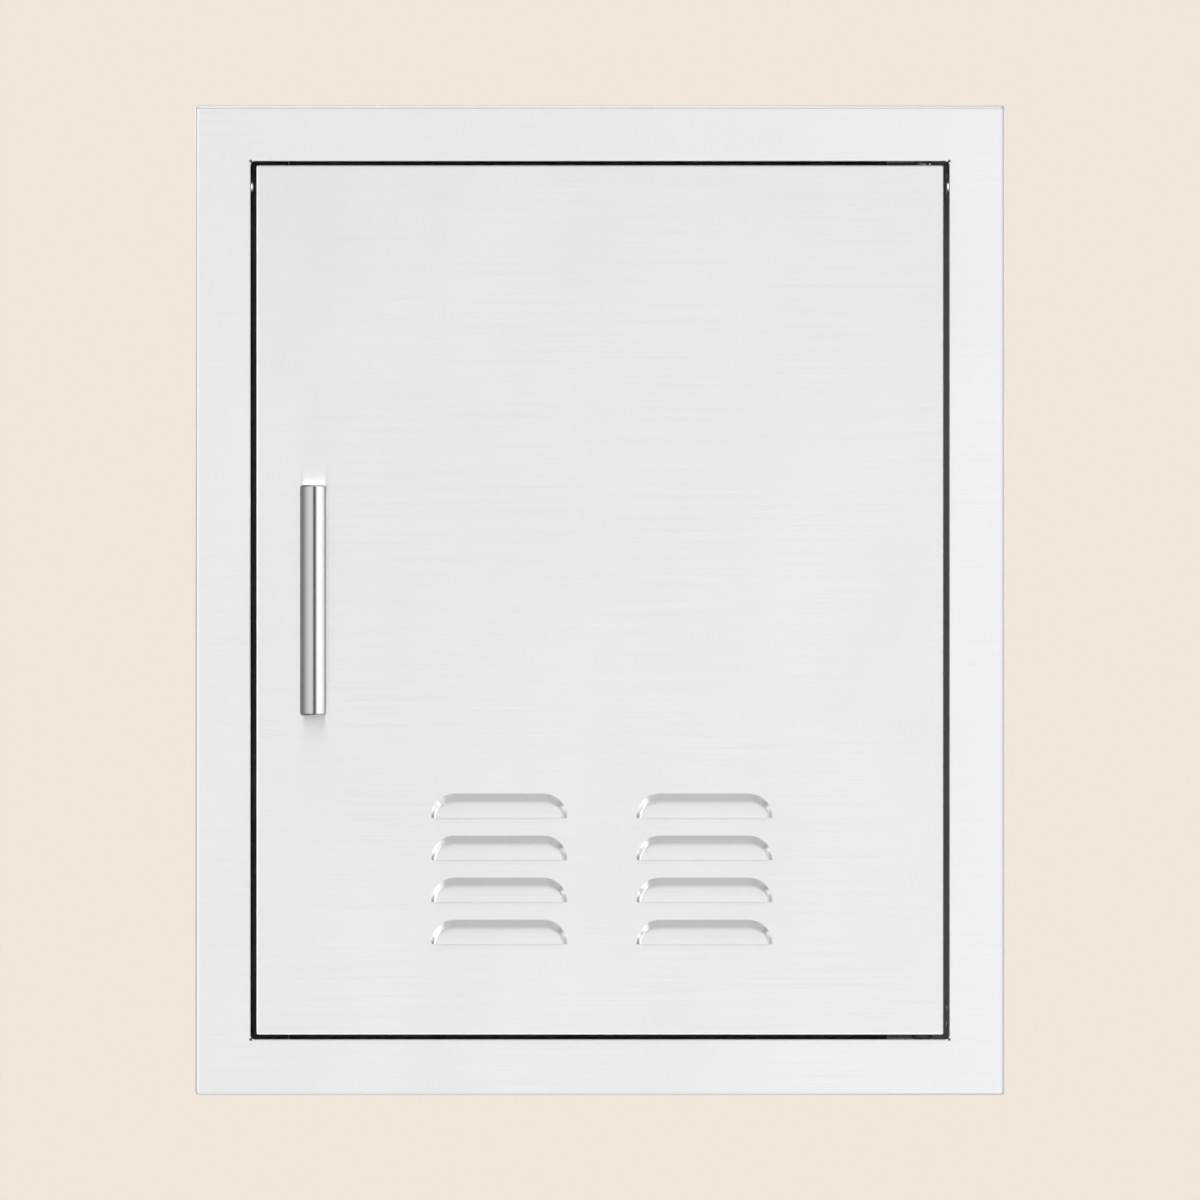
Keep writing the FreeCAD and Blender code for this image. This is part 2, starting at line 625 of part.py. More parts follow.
def make_side_sleeve(name, side):
    body = new_body(name)
    profile = sketch_on(body, "XY_Plane")
    inner = jamb_x
    lip_x = sleeve_x - s.sleeve_lip
    rear_inner = sleeve_rear_y - s.sleeve_sheet
    corners = [
        (inner, sleeve_front_y), (sleeve_x, sleeve_front_y), (sleeve_x, sleeve_rear_y),
        (lip_x, sleeve_rear_y), (lip_x, rear_inner), (inner, rear_inner),
    ]
    if side < 0:
        corners = [(-x, y) for x, y in reversed(corners)]
    outline(profile, [(corner,) for corner in corners])
    pad(profile, 2 * sleeve_z, "+Z", both_ways=True)
    fillet(body, s.bend_radius, edges_on(body.Shape, x=[side * sleeve_x], y=[sleeve_rear_y]))
    inside = edges_on(body.Shape, x=[side * inner], y=[rear_inner])
    fillet(body, inside_of(s.bend_radius, s.sleeve_sheet), inside)

    way = "+X" if side > 0 else "-X"
    start_x = side * (jamb_x - THROUGH / 2)
    through = s.sleeve_sheet + THROUGH
    rivet_hole = s.rivet_radius + s.rivet_clearance
    cutters = [rod((start_x, s.jamb_rivet_y, jamb_rivet_z), way, through, rivet_hole)]
    for z_side in (-1, 1):
        place = (start_x, s.mount_hole_y, z_side * s.mount_hole_rise)
        cutters.append(rod(place, way, through, s.mount_hole_radius))
    for rivet_side, z in tab_rivet_places:
        if rivet_side == side:
            cutters.append(rod((start_x, tab_rivet_y, z), way, through, rivet_hole))
    if side < 0:
        for z in catch_screw_zs:
            screw_hole = s.catch_screw_radius + s.rivet_clearance
            cutters.append(rod((start_x, catch_screw_y, z), way, through, screw_hole))
    finish(name, cut(body, *cutters))


def make_level_sleeve(name, side):
    """The top panel, or the bottom one where side is negative, with a tab down each side panel."""
    body = new_body(name)
    profile = sketch_on(body, "YZ_Plane")
    lip_z = sleeve_z - s.sleeve_lip
    rear_inner = sleeve_rear_y - s.sleeve_sheet
    corners = [
        (sleeve_front_y, jamb_z), (rear_inner, jamb_z), (rear_inner, lip_z), (sleeve_rear_y, lip_z),
        (sleeve_rear_y, sleeve_z), (sleeve_front_y, sleeve_z),
    ]
    if side < 0:
        corners = [(y, -z) for y, z in reversed(corners)]
    outline(profile, [(corner,) for corner in corners])
    pad(profile, 2 * jamb_x, "+X", both_ways=True)
    fillet(body, s.bend_radius, edges_on(body.Shape, y=[sleeve_rear_y], z=[side * sleeve_z]))
    inside = edges_on(body.Shape, y=[rear_inner], z=[side * jamb_z])
    fillet(body, inside_of(s.bend_radius, s.sleeve_sheet), inside)
    tabs = sketch_on(body, "XZ_Plane", tab_front_y)
    low, high = sorted([side * (jamb_z - s.tab_length), side * jamb_z], key=float)
    rectangle(tabs, -jamb_x, low, -(jamb_x - s.sleeve_sheet), high)
    rectangle(tabs, jamb_x - s.sleeve_sheet, low, jamb_x, high)
    pad(tabs, s.tab_depth, "+Y")

    corner_x = sleeve_x - s.sleeve_lip - s.plate_clearance
    corner_y = (rear_inner - s.plate_clearance, sleeve_rear_y + THROUGH)
    lip_band = sorted([side * (lip_z - THROUGH), side * (sleeve_z + THROUGH)], key=float)
    sheet_band = sorted([side * (jamb_z - THROUGH / 2), side * (sleeve_z + THROUGH)], key=float)
    notch_y = (sleeve_front_y - THROUGH, sleeve_front_y + s.hinge_plate_depth + s.plate_clearance)
    notch_x = (hinge_x - s.hinge_plate_left - s.plate_clearance, jamb_x + THROUGH)
    cutters = [
        block((corner_x, jamb_x + THROUGH), corner_y, lip_band),
        block((-jamb_x - THROUGH, -corner_x), corner_y, lip_band),
        block(notch_x, notch_y, sheet_band),
    ]
    way = "+Z" if side > 0 else "-Z"
    for x_side in (-1, 1):
        start = (x_side * s.mount_hole_reach, s.mount_hole_y, side * (jamb_z - THROUGH / 2))
        cutters.append(rod(start, way, s.sleeve_sheet + THROUGH, s.mount_hole_radius))
        for z in tab_rivet_zs:
            start = (x_side * (jamb_x - s.sleeve_sheet - THROUGH / 2), tab_rivet_y, side * z)
            hole = s.rivet_radius + s.rivet_clearance
            cutters.append(rod(start, "+X" if x_side > 0 else "-X", s.sleeve_sheet + THROUGH, hole))
    finish(name, cut(body, *cutters))


def make_sleeve_rivets():
    rivets = []
    for side, z in tab_rivet_places:
        seat = (side * (jamb_x - s.sleeve_sheet), tab_rivet_y, z)
        way = "+X" if side > 0 else "-X"
        rivets.append(rivet(seat, way, 2 * s.sleeve_sheet, s.low_head_radius, s.low_head_height))
    finish("sleeve_rivets", group(*rivets))


# Stop strips: angles inside the sleeve that the closed door comes up to, with rubber bumpers.

def make_stop(name, plane, corners, reach, bend_edge, cutters):
    """An angle strip along X or Z. Its profile is given by its corners, its length by its two ends."""
    body = new_body(name)
    profile = sketch_on(body, plane, reach[0])
    outline(profile, [(corner,) for corner in corners])
    pad(profile, reach[1] - reach[0], "+X")
    fillet(body, s.bend_radius, edges_on(body.Shape, **bend_edge))
    finish(name, cut(body, *cutters(body)) if cutters else body)


def make_stops():
    ledge_x = jamb_x - s.stop_ledge
    leg_rear_y = ledge_front_y + s.stop_leg
    left_profile = [
        (-jamb_x, ledge_front_y), (-ledge_x, ledge_front_y), (-ledge_x, ledge_back_y),
        (-leg_inner_x, ledge_back_y), (-leg_inner_x, leg_rear_y), (-jamb_x, leg_rear_y),
    ]
    side_end = jamb_z - s.stop_end_gap
    pole_x = s.magnet_sheet / 2 + s.pole_sheet + s.window_clearance
    pole_z = s.magnet_height / 2 + s.window_clearance

    def left_cutters(body):
        window_y = (ledge_front_y - THROUGH, ledge_back_y + THROUGH / 4)
        window = block((catch_x - pole_x, catch_x + pole_x), window_y, (-pole_z, pole_z))
        hole = s.catch_screw_radius + s.rivet_clearance
        start_x = -leg_inner_x + THROUGH / 2
        through = s.stop_sheet + THROUGH
        return [window] + [rod((start_x, catch_screw_y, z), "-X", through, hole) for z in catch_screw_zs]

    make_stop(
        "stop_left", "XY_Plane", left_profile, (-side_end, side_end),
        {"x": [-jamb_x], "y": [ledge_front_y]}, left_cutters)

    ends = (-ledge_x + s.stop_end_gap, hinge_x - s.stop_hinge_gap)
    ledge_z = jamb_z - s.stop_ledge
    for name, side in (("stop_top", 1), ("stop_bottom", -1)):
        profile = [
            (ledge_front_y, ledge_z), (ledge_back_y, ledge_z), (ledge_back_y, leg_inner_z),
            (leg_rear_y, leg_inner_z), (leg_rear_y, jamb_z), (ledge_front_y, jamb_z),
        ]
        if side < 0:
            profile = [(y, -z) for y, z in reversed(profile)]
        bend = {"y": [ledge_front_y], "z": [side * jamb_z]}
        make_stop(name, "YZ_Plane", profile, ends, bend, None)


def make_stop_bumpers():
    thickness = s.strike_sheet + s.ledge_clearance - s.bumper_clearance
    places = [(-open_x + s.bumper_inset, side * s.bumper_rise) for side in (-1, 1)]
    level_z = open_z - s.bumper_inset
    places += [(x_side * s.bumper_reach, z_side * level_z) for x_side in (-1, 1) for z_side in (-1, 1)]
    pads = [rod((x, ledge_front_y, z), "-Y", thickness, s.bumper_radius) for x, z in places]
    finish("stop_bumpers", group(*pads))


# Door skin: a pan with rear lips and pressed louvres that open downwards.

# The louvre's rounded slope: share of the slope's width, and share of the rise, from skin to crown.
LOUVRE_SECTIONS = [(0, 0), (0.646, 0.648), (0.82, 0.79), (1, 0.865), (1.55, 1)]


def louvre_outline(sketch, inset, lip_drop=0):
    """Outline of a louvre at the first place of the pattern, with all but its lip drawn in by the inset."""
    middle = s.louvre_shift - (s.louvre_columns - 1) * s.louvre_pitch_x / 2
    lip = door_bottom + s.louvre_foot
    left = middle - s.louvre_width / 2 + inset
    right = middle + s.louvre_width / 2 - inset
    top = lip + s.louvre_height - inset
    shoulder = lip + s.louvre_side
    radius = s.louvre_height - s.louvre_side - inset
    outline(sketch, [
        ((left, lip - lip_drop),), ((right, lip - lip_drop),),
        ((right, shoulder), (right - radius, shoulder)), ((right - radius, top),),
        ((left + radius, top), (left + radius, shoulder)), ((left, shoulder),),
    ])


def add_louvres(body):
    sections = []
    for width_share, rise_share in LOUVRE_SECTIONS:
        section = sketch_on(body, "XZ_Plane", front_y - rise_share * s.louvre_rise)
        louvre_outline(section, width_share * s.louvre_slope)
        sections.append(section)
    hood = body.newObject("PartDesign::AdditiveLoft", "louvre_hood")
    hood.Profile = sections[0]
    hood.Sections = sections[1:]
    hood.Ruled = True
    doc.recompute()
    start_y = skin_inner_y + THROUGH / 4
    run_per_rise = s.louvre_slope / s.louvre_rise
    start = sketch_on(body, "XZ_Plane", start_y)
    louvre_outline(start, s.louvre_wall - run_per_rise * (start_y - front_y), s.lance_gap)
    crown_y = front_y - s.louvre_rise + s.door_sheet
    crown = sketch_on(body, "XZ_Plane", crown_y)
    louvre_outline(crown, s.louvre_wall + run_per_rise * (front_y - crown_y), s.lance_gap)
    throat = body.newObject("PartDesign::SubtractiveLoft", "louvre_throat")
    throat.Profile = start
    throat.Sections = [crown]
    doc.recompute()
    grid = body.newObject("PartDesign::LinearPattern", "louvre_grid")
    axes = {item.Role: item for item in body.Origin.OriginFeatures}
    grid.Originals = [hood, throat]
    grid.Direction = (axes["X_Axis"], [""])
    grid.Mode = "Spacing"
    grid.setExpression("Offset", str(s.louvre_pitch_x))
    grid.setExpression("Occurrences", str(s.louvre_columns))
    grid.Direction2 = (axes["Z_Axis"], [""])
    grid.Mode2 = "Spacing"
    grid.setExpression("Offset2", str(s.louvre_pitch_z))
    grid.setExpression("Occurrences2", str(s.louvre_rows))
    body.Tip = grid
    doc.recompute()
    common_spacing = -1.0
    grid.Spacings = [common_spacing] * (grid.Occurrences - 1)
    grid.Spacings2 = [common_spacing] * (grid.Occurrences2 - 1)
    doc.recompute()


def pull_slot(y):
    """Block that clears the finger tab over its whole travel."""
    pull_top = door_top - s.door_sheet - s.top_bracket_height - s.pull_gap
    half = s.pull_width / 2 + s.pull_clearance
    low = pull_top - s.pull_sheet - s.pin_travel - s.pull_clearance
    return block((hinge_x - half, hinge_x + half), y, (low, pull_top + s.pull_clearance))


def rivet_holes(y, depth, places):
    hole = s.rivet_radius + s.rivet_clearance
    return [rod((x, y, z), "+Y", depth, hole) for x, z in places]


def make_door_skin():
    body = new_body("door_skin")
    blank = sketch_on(body, "XZ_Plane", front_y)
    rectangle(blank, -door_x, door_bottom, door_x, door_top)
    pad(blank, s.skin_depth, "+Y")
    fold_box(body, s.bend_radius, [-door_x, door_x], [front_y, skin_back_y], [door_bottom, door_top])
    window = sketch_on(body, "XZ_Plane", skin_back_y)
    window_x = door_x - s.door_lip
    rectangle(window, -window_x, door_bottom + s.door_lip, window_x, door_top - s.door_lip)
    pocket(window, s.door_sheet, "-Y")
    left, right = -door_x + s.door_sheet, door_x - s.door_sheet
    low, high = door_bottom + s.door_sheet, door_top - s.door_sheet
    hollow = sketch_on(body, "XZ_Plane", lip_inner_y)
    rectangle(hollow, left, low, right, high)
    pocket(hollow, s.skin_depth - 2 * s.door_sheet, "-Y")
    fold_box(body, door_inner_bend, [left, right], [skin_inner_y, lip_inner_y], [low, high])
    add_louvres(body)

    pin_hole = s.pin_radius + s.pin_hole_clearance
    through = s.door_sheet + THROUGH
    cutters = [
        rod((hinge_x, hinge_y, high - THROUGH / 2), "+Z", through, pin_hole),
        rod((hinge_x, hinge_y, low + THROUGH / 2), "-Z", through, pin_hole),
        pull_slot((lip_inner_y - THROUGH / 2, skin_back_y + THROUGH / 2)),
    ]
    screw_hole = s.handle_screw_radius + s.rivet_clearance
    cutters += [rod((handle_x, front_y - THROUGH / 2, z), "+Y", through, screw_hole) for z in handle_zs]
    places = liner_rivet_places + [(catch_x, z) for z in strike_rivet_zs]
    cutters += rivet_holes(lip_inner_y - THROUGH / 2, through, places)
    finish("door_skin", cut(body, *cutters))


# Door liner: closes the back, with a recessed field and vent slots behind the louvres.

def make_door_liner():
    body = new_body("door_liner")
    edge_x = door_x - s.liner_inset
    edge_top = door_top - s.liner_inset
    edge_bottom = door_bottom + s.liner_inset
    field_x = door_x - s.liner_border
    field_top = door_top - s.liner_border
    field_bottom = door_bottom + s.liner_border
    sheet_y = sketch_on(body, "XZ_Plane", skin_back_y)
    rectangle(sheet_y, -edge_x, edge_bottom, edge_x, edge_top)
    pad(sheet_y, s.liner_sheet, "+Y")
    boss = sketch_on(body, "XZ_Plane", skin_back_y)
    rounded_rectangle(boss, -field_x, field_bottom, field_x, field_top, s.field_corner)
    pad(boss, s.field_depth, "-Y")
    recess = sketch_on(body, "XZ_Plane", door_back_y)
    wall = s.liner_sheet
    left, right = -field_x + wall, field_x - wall
    low, high = field_bottom + wall, field_top - wall
    rounded_rectangle(recess, left, low, right, high, s.field_corner - wall)
    pocket(recess, s.field_depth, "-Y")
    vents = sketch_on(body, "XZ_Plane", door_back_y)
    first_x = s.louvre_shift - (s.louvre_columns - 1) * s.louvre_pitch_x / 2
    first_z = door_bottom + s.louvre_foot + s.vent_lift
    for column in range(round(float(s.louvre_columns))):
        for rank in range(round(float(s.louvre_rows))):
            x = first_x + column * s.louvre_pitch_x
            z = first_z + rank * s.louvre_pitch_z
            slot(vents, x, z, s.vent_length, s.vent_width)
    for z in handle_zs:
        circle_in(vents, handle_x, z, s.access_radius)
    pocket(vents, s.field_depth + s.liner_sheet + THROUGH, "-Y")

    cutters = [pull_slot((skin_back_y - THROUGH / 2, door_back_y + THROUGH / 2))]
    places = liner_rivet_places + [(catch_x, z) for z in strike_rivet_zs]
    cutters += rivet_holes(skin_back_y - THROUGH / 2, s.liner_sheet + THROUGH, places)
    finish("door_liner", cut(body, *cutters))


def make_liner_rivets():
    grip = s.liner_sheet + s.door_sheet
    head = (s.low_head_radius, s.low_head_height)
    rivets = [rivet((x, door_back_y, z), "-Y", grip, *head) for x, z in liner_rivet_places]
    finish("liner_rivets", group(*rivets))


# Handle: a bar on two posts, screwed on from inside through a backer plate.

def make_handle():
    body = new_body("handle_bar")
    section = sketch_on(body, "XY_Plane")
    circle_in(section, handle_x, handle_y, s.handle_radius)
    pad(section, s.handle_length, "+Z", both_ways=True)
    rims = ["Edge%d" % number for number, edge in enumerate(body.Shape.Edges, start=1)
            if edge.BoundBox.ZLength < 0.01]
    fillet(body, s.handle_round, rims)
    finish("handle_bar", body)

    screw_end_y = front_y - s.handle_screw_bite
    backer_y = skin_inner_y + s.backer_sheet
    washer_y = backer_y + s.washer_sheet
    screw_hole = s.handle_screw_radius + s.rivet_clearance
    side = s.post_width / 2
    for name, z in (("handle_post_bottom", handle_zs[0]), ("handle_post_top", handle_zs[1])):
        post = new_body(name)
        section = sketch_on(post, "XZ_Plane", front_y)
        rounded_rectangle(section, handle_x - side, z - side, handle_x + side, z + side, s.post_corner)
        pad(section, s.handle_reach, "-Y")
        saddle = rod((handle_x, handle_y, z - s.post_width), "+Z", 2 * s.post_width, s.handle_radius)
        thread = rod((handle_x, front_y + THROUGH, z), "-Y", s.handle_screw_bite + 2 * THROUGH, screw_hole)
        finish(name, cut(post, saddle, thread))

    half = s.backer_width / 2
    end = post_z + s.backer_margin
    plate = block((handle_x - half, handle_x + half), (skin_inner_y, backer_y), (-end, end))
    through = s.backer_sheet + THROUGH
    holes = [rod((handle_x, skin_inner_y - THROUGH / 2, z), "+Y", through, screw_hole) for z in handle_zs]
    finish("handle_backer", cut(plate, *holes))

    washers = []
    screws = []
    for z in handle_zs:
        disc = rod((handle_x, backer_y, z), "+Y", s.washer_sheet, s.washer_radius)
        hole = rod((handle_x, backer_y - THROUGH / 2, z), "+Y", s.washer_sheet + THROUGH, screw_hole)
        washers.append(cut(disc, hole))
        shank = rod((handle_x, screw_end_y, z), "+Y", washer_y - screw_end_y, s.handle_screw_radius)
        head = rod((handle_x, washer_y, z), "+Y", s.handle_head_height, s.handle_head_radius)
        screws.append(fuse(shank, head))
    finish("handle_washers", group(*washers))
    finish("handle_screws", group(*screws))


# Hinge side of the frame: plates behind the jambs, nylon bushes and a thrust washer.

def make_hinge_plate(name, side):
    x = (hinge_x - s.hinge_plate_left, hinge_x + s.hinge_plate_right)
    y = (sleeve_front_y, sleeve_front_y + s.hinge_plate_depth)
    z = sorted([side * jamb_z, side * plate_top_z], key=float)
    start = (hinge_x, hinge_y, side * (jamb_z - THROUGH / 2))
    way = "+Z" if side > 0 else "-Z"
    hole = rod(start, way, s.hinge_plate_sheet + THROUGH, s.bush_radius)
    finish(name, cut(block(x, y, z), hole))


def make_bush(name, side):
    way = "+Z" if side > 0 else "-Z"
    face_z = open_z - s.bush_flange
    flange = rod((hinge_x, hinge_y, side * face_z), way, s.bush_flange, s.bush_flange_radius)
    sleeve = rod((hinge_x, hinge_y, side * face_z), way, plate_top_z - face_z, s.bush_radius)
    start = (hinge_x, hinge_y, side * (face_z - THROUGH / 2))
    bore = rod(start, way, plate_top_z - face_z + THROUGH, s.pin_radius + s.pin_clearance)
    finish(name, cut(fuse(flange, sleeve), bore))


def make_thrust_washer():
    low = -(open_z - s.bush_flange)
    disc = rod((hinge_x, hinge_y, low), "+Z", door_bottom - low, s.thrust_radius)
    start = (hinge_x, hinge_y, low - THROUGH / 2)
    bore = rod(start, "+Z", door_bottom - low + THROUGH, s.pin_radius + s.pin_clearance)
    finish("thrust_washer", cut(disc, bore))


# Hinge side of the door: a bracket with a fixed pin below, and one with a sliding pin above.

bracket_x = door_x - s.door_sheet
bracket_front_y = skin_inner_y + door_inner_bend + s.bracket_front_gap
top_bracket_z = door_top - s.door_sheet
low_arm_top_z = top_bracket_z - s.top_bracket_height + s.bracket_sheet
bottom_bracket_z = door_bottom + s.door_sheet


def make_bracket(name, low, high, pin_hole):
    """A channel whose back lies on the door's side return and whose arms carry the pin."""
    body = new_body(name)
    left = hinge_x - s.bracket_reach
    inner_x = bracket_x - s.bracket_sheet
    low_arm, high_arm = low + s.bracket_sheet, high - s.bracket_sheet
    profile = sketch_on(body, "XZ_Plane", bracket_front_y)
    corners = [
        (left, low), (bracket_x, low), (bracket_x, high), (left, high),
        (left, high_arm), (inner_x, high_arm), (inner_x, low_arm), (left, low_arm),
    ]
    outline(profile, [(corner,) for corner in corners])
    pad(profile, s.bracket_depth, "+Y")
    fillet(body, s.bracket_bend, edges_on(body.Shape, x=[bracket_x], z=[low, high]))
    inside = edges_on(body.Shape, x=[inner_x], z=[low_arm, high_arm])
    fillet(body, inside_of(s.bracket_bend, s.bracket_sheet), inside)
    bore = rod((hinge_x, hinge_y, low - THROUGH), "+Z", high - low + 2 * THROUGH, pin_hole)
    finish(name, cut(body, bore))


def pivot_pin(low, high, nose_up):
    """A round pin with a chamfered nose at its upper or lower end."""
    nose = (s.pin_radius, s.pin_radius - s.pin_chamfer)
    length = high - low - s.pin_chamfer
    if nose_up:
        return fuse(
            rod((hinge_x, hinge_y, low), "+Z", length, s.pin_radius),
            cone((hinge_x, hinge_y, high - s.pin_chamfer), "+Z", s.pin_chamfer, *nose),
        )
    return fuse(
        rod((hinge_x, hinge_y, high), "-Z", length, s.pin_radius),
        cone((hinge_x, hinge_y, low + s.pin_chamfer), "-Z", s.pin_chamfer, *nose),
    )


def helix_path(radius, low, high, turns):
    """A helix drawn as two tangent arcs for each quarter turn."""
    steps = turns * 4
    pitch = (high - low) / turns

    def point(angle):
        height = low + pitch * angle / math.tau
        return FreeCAD.Vector(radius * math.cos(angle), radius * math.sin(angle), height)

    def heading(angle):
        way = FreeCAD.Vector(-radius * math.sin(angle), radius * math.cos(angle), pitch / math.tau)
        return way.normalize()

    def arc(start, corner, end):
        middle = (start + end) / 2
        half_chord = (end - start).Length / 2
        height = (corner - middle).Length
        leg = math.hypot(half_chord, height)
        rise = half_chord * (leg - half_chord) / height
        return Part.Arc(start, middle + (corner - middle) * (rise / height), end).toShape()

    edges = []
    for step in range(steps):
        first_angle, last_angle = step * math.pi / 2, (step + 1) * math.pi / 2
        start, end = point(first_angle), point(last_angle)
        out, back = heading(first_angle), heading(last_angle)
        gap = end - start
        total = out + back
        # The legs are as long as the distance between their ends, which makes both arcs tangent.
        a = total.dot(total) - 4
        b = -2 * gap.dot(total)
        c = gap.dot(gap)
        leg = (-b - math.sqrt(b * b - 4 * a * c)) / (2 * a)
        first_corner = start + out * leg
        last_corner = end - back * leg
        joint = (first_corner + last_corner) / 2
        edges.append(arc(start, first_corner, joint))
        edges.append(arc(joint, last_corner, end))
    return Part.Wire(edges)


def least_gap(path, wire_radius, turns):
    """Least space between the wire and itself, on points that lie more than half a turn apart."""
    points = path.discretize(Number=turns * 24)
    away = 12
    spans = [(a - b).Length for place, a in enumerate(points) for b in points[place + away:]]
    return min(spans) - 2 * wire_radius


def make_pin_spring():
    low = float(low_arm_top_z + s.wire_radius)
    high = float(top_bracket_z - s.bracket_sheet - s.collar_clearance - s.collar_height - s.wire_radius)
    radius = float(s.spring_radius)
    turns = round(float(s.spring_turns))
    path = helix_path(radius, low, high, turns)
    print("pin spring, least gap between turns: %.2f mm" % least_gap(path, float(s.wire_radius), turns))
    way = path.Edges[0].tangentAt(path.Edges[0].FirstParameter)
    ring = Part.Circle(FreeCAD.Vector(radius, 0, low), way, float(s.wire_radius))
    coil = path.makePipeShell([Part.Wire([ring.toShape()])], True, False)
    spring = doc.addObject("Part::Feature", "spring")
    spring.Shape = coil
    spring.Placement = FreeCAD.Placement(
        FreeCAD.Vector(float(hinge_x), float(hinge_y), 0), FreeCAD.Rotation())
    finish("pin_spring", spring)


def make_top_pin():
    collar_top = top_bracket_z - s.bracket_sheet - s.collar_clearance
    pull_top = top_bracket_z - s.top_bracket_height - s.pull_gap
    pull_low = pull_top - s.pull_sheet
    finish("top_pivot_pin", pivot_pin(pull_low, plate_top_z + s.pin_stickout, nose_up=True))
    ring = rod((hinge_x, hinge_y, collar_top), "-Z", s.collar_height, s.collar_radius)
    bore = rod((hinge_x, hinge_y, collar_top + THROUGH), "-Z", s.collar_height + 2 * THROUGH, s.pin_radius)
    finish("pin_collar", cut(ring, bore))
    half = s.pull_width / 2
    x = (hinge_x - half, hinge_x + half)
    end_y = door_back_y + s.pull_reach
    tongue = block(x, (hinge_y - half, end_y), (pull_low, pull_top))
    hook = block(x, (end_y - s.pull_sheet, end_y), (pull_top - s.pull_turn_down, pull_top))
    hole = rod((hinge_x, hinge_y, pull_low - THROUGH), "+Z", s.pull_sheet + 2 * THROUGH, s.pin_radius)
    finish("pin_pull_tab", cut(fuse(tongue, hook), hole))


def make_hinge():
    make_hinge_plate("hinge_plate_top", 1)
    make_hinge_plate("hinge_plate_bottom", -1)
    make_bush("pivot_bush_top", 1)
    make_bush("pivot_bush_bottom", -1)
    make_thrust_washer()
    sliding = s.pin_radius + s.pin_clearance
    make_bracket("top_pin_bracket", top_bracket_z - s.top_bracket_height, top_bracket_z, sliding)
    bottom_top_z = bottom_bracket_z + s.bottom_bracket_height
    make_bracket("bottom_pin_bracket", bottom_bracket_z, bottom_top_z, s.pin_radius)
    low = -(plate_top_z + s.pin_stickout)
    finish("bottom_pivot_pin", pivot_pin(low, bottom_top_z + s.bottom_pin_end, nose_up=False))
    make_top_pin()
    make_pin_spring()


# Magnetic catch behind the left ledge, and its strike plate on the door.

def make_catch():
    front = ledge_back_y + s.catch_setback
    rear = front + s.catch_depth
    pole_front = door_back_y + s.strike_sheet + s.catch_gap
    pole_rear = pole_front + s.pole_depth
    half = s.catch_height / 2
    stack = s.magnet_sheet / 2 + s.pole_sheet
    pole_half = s.magnet_height / 2
    core = block((-leg_inner_x, catch_x + s.catch_cheek), (front, rear), (-half, half))
    ear_y = (catch_screw_y - s.ear_depth / 2, catch_screw_y + s.ear_depth / 2)
    ear_end = half + s.ear_length
    ears = block((-leg_inner_x, -leg_inner_x + s.ear_sheet), ear_y, (-ear_end, ear_end))
    nest = block(
        (catch_x - stack, catch_x + stack), (front - THROUGH, pole_rear),
        (-pole_half - s.rivet_clearance, pole_half + s.rivet_clearance))
    hole = s.catch_screw_radius + s.rivet_clearance
    start_x = -leg_inner_x + s.ear_sheet + THROUGH / 2
    through = s.ear_sheet + THROUGH
    holes = [rod((start_x, catch_screw_y, z), "-X", through, hole) for z in catch_screw_zs]
    finish("catch_housing", cut(fuse(core, ears), nest, *holes))

    z = (-pole_half, pole_half)
    inner = s.magnet_sheet / 2
    finish("catch_pole_plates", group(
        block((catch_x - stack, catch_x - inner), (pole_front, pole_rear), z),
        block((catch_x + inner, catch_x + stack), (pole_front, pole_rear), z),
    ))
    magnet_y = (pole_front + s.magnet_recess, pole_rear)
    finish("catch_magnet", block((catch_x - inner, catch_x + inner), magnet_y, z))

    screws = []
    seat_x = -leg_inner_x + s.ear_sheet
    grip = s.ear_sheet + s.stop_sheet + s.sleeve_sheet + s.catch_screw_end
    for screw_z in catch_screw_zs:
        seat = (seat_x, catch_screw_y, screw_z)
        screws.append(fuse(
            rod(seat, "-X", grip, s.catch_screw_radius),
            dome(seat, "+X", s.catch_screw_head, s.catch_head_height),
        ))
    finish("catch_screws", group(*screws))

    half_x = s.strike_width / 2
    half_z = s.strike_height / 2
    y = (door_back_y, door_back_y + s.strike_sheet)
    plate = block((catch_x - half_x, catch_x + half_x), y, (-half_z, half_z))
    sinks = [
        cone((catch_x, y[1], z), "-Y", s.strike_sheet, s.flush_head_radius, s.rivet_radius)
        for z in strike_rivet_zs
    ]
    finish("strike_plate", cut(plate, *sinks))
    rivets = []
    for z in strike_rivet_zs:
        rivets.append(fuse(
            cone((catch_x, y[1], z), "-Y", s.strike_sheet, s.flush_head_radius, s.rivet_radius),
            rod((catch_x, y[0], z), "-Y", door_back_y - lip_inner_y, s.rivet_radius),
            rod((catch_x, lip_inner_y, z), "-Y", s.rivet_tail_height, s.rivet_tail_radius),
        ))
    finish("strike_rivets", group(*rivets))


make_face_frame()
make_jamb_rivets()
make_side_sleeve("sleeve_left", -1)
make_side_sleeve("sleeve_right", 1)
make_level_sleeve("sleeve_top", 1)
make_level_sleeve("sleeve_bottom", -1)
make_sleeve_rivets()
make_stops()
make_stop_bumpers()
make_door_skin()
make_door_liner()
make_liner_rivets()
make_handle()
make_hinge()
make_catch()
doc.recompute()

broken = [item.Label for item in doc.Objects if {"Invalid", "Error"} & set(item.State)]
broken += [name for name, item in pieces.items() if item.Shape.isNull() or not item.Shape.isValid()]
if broken:
    raise RuntimeError("not built: " + ", ".join(sorted(set(broken))))
os.makedirs("parts", exist_ok=True)
for name, item in pieces.items():
    item.Shape.exportStep(os.path.join("parts", name + ".step"))
print(len(pieces), "pieces written")
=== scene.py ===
import math

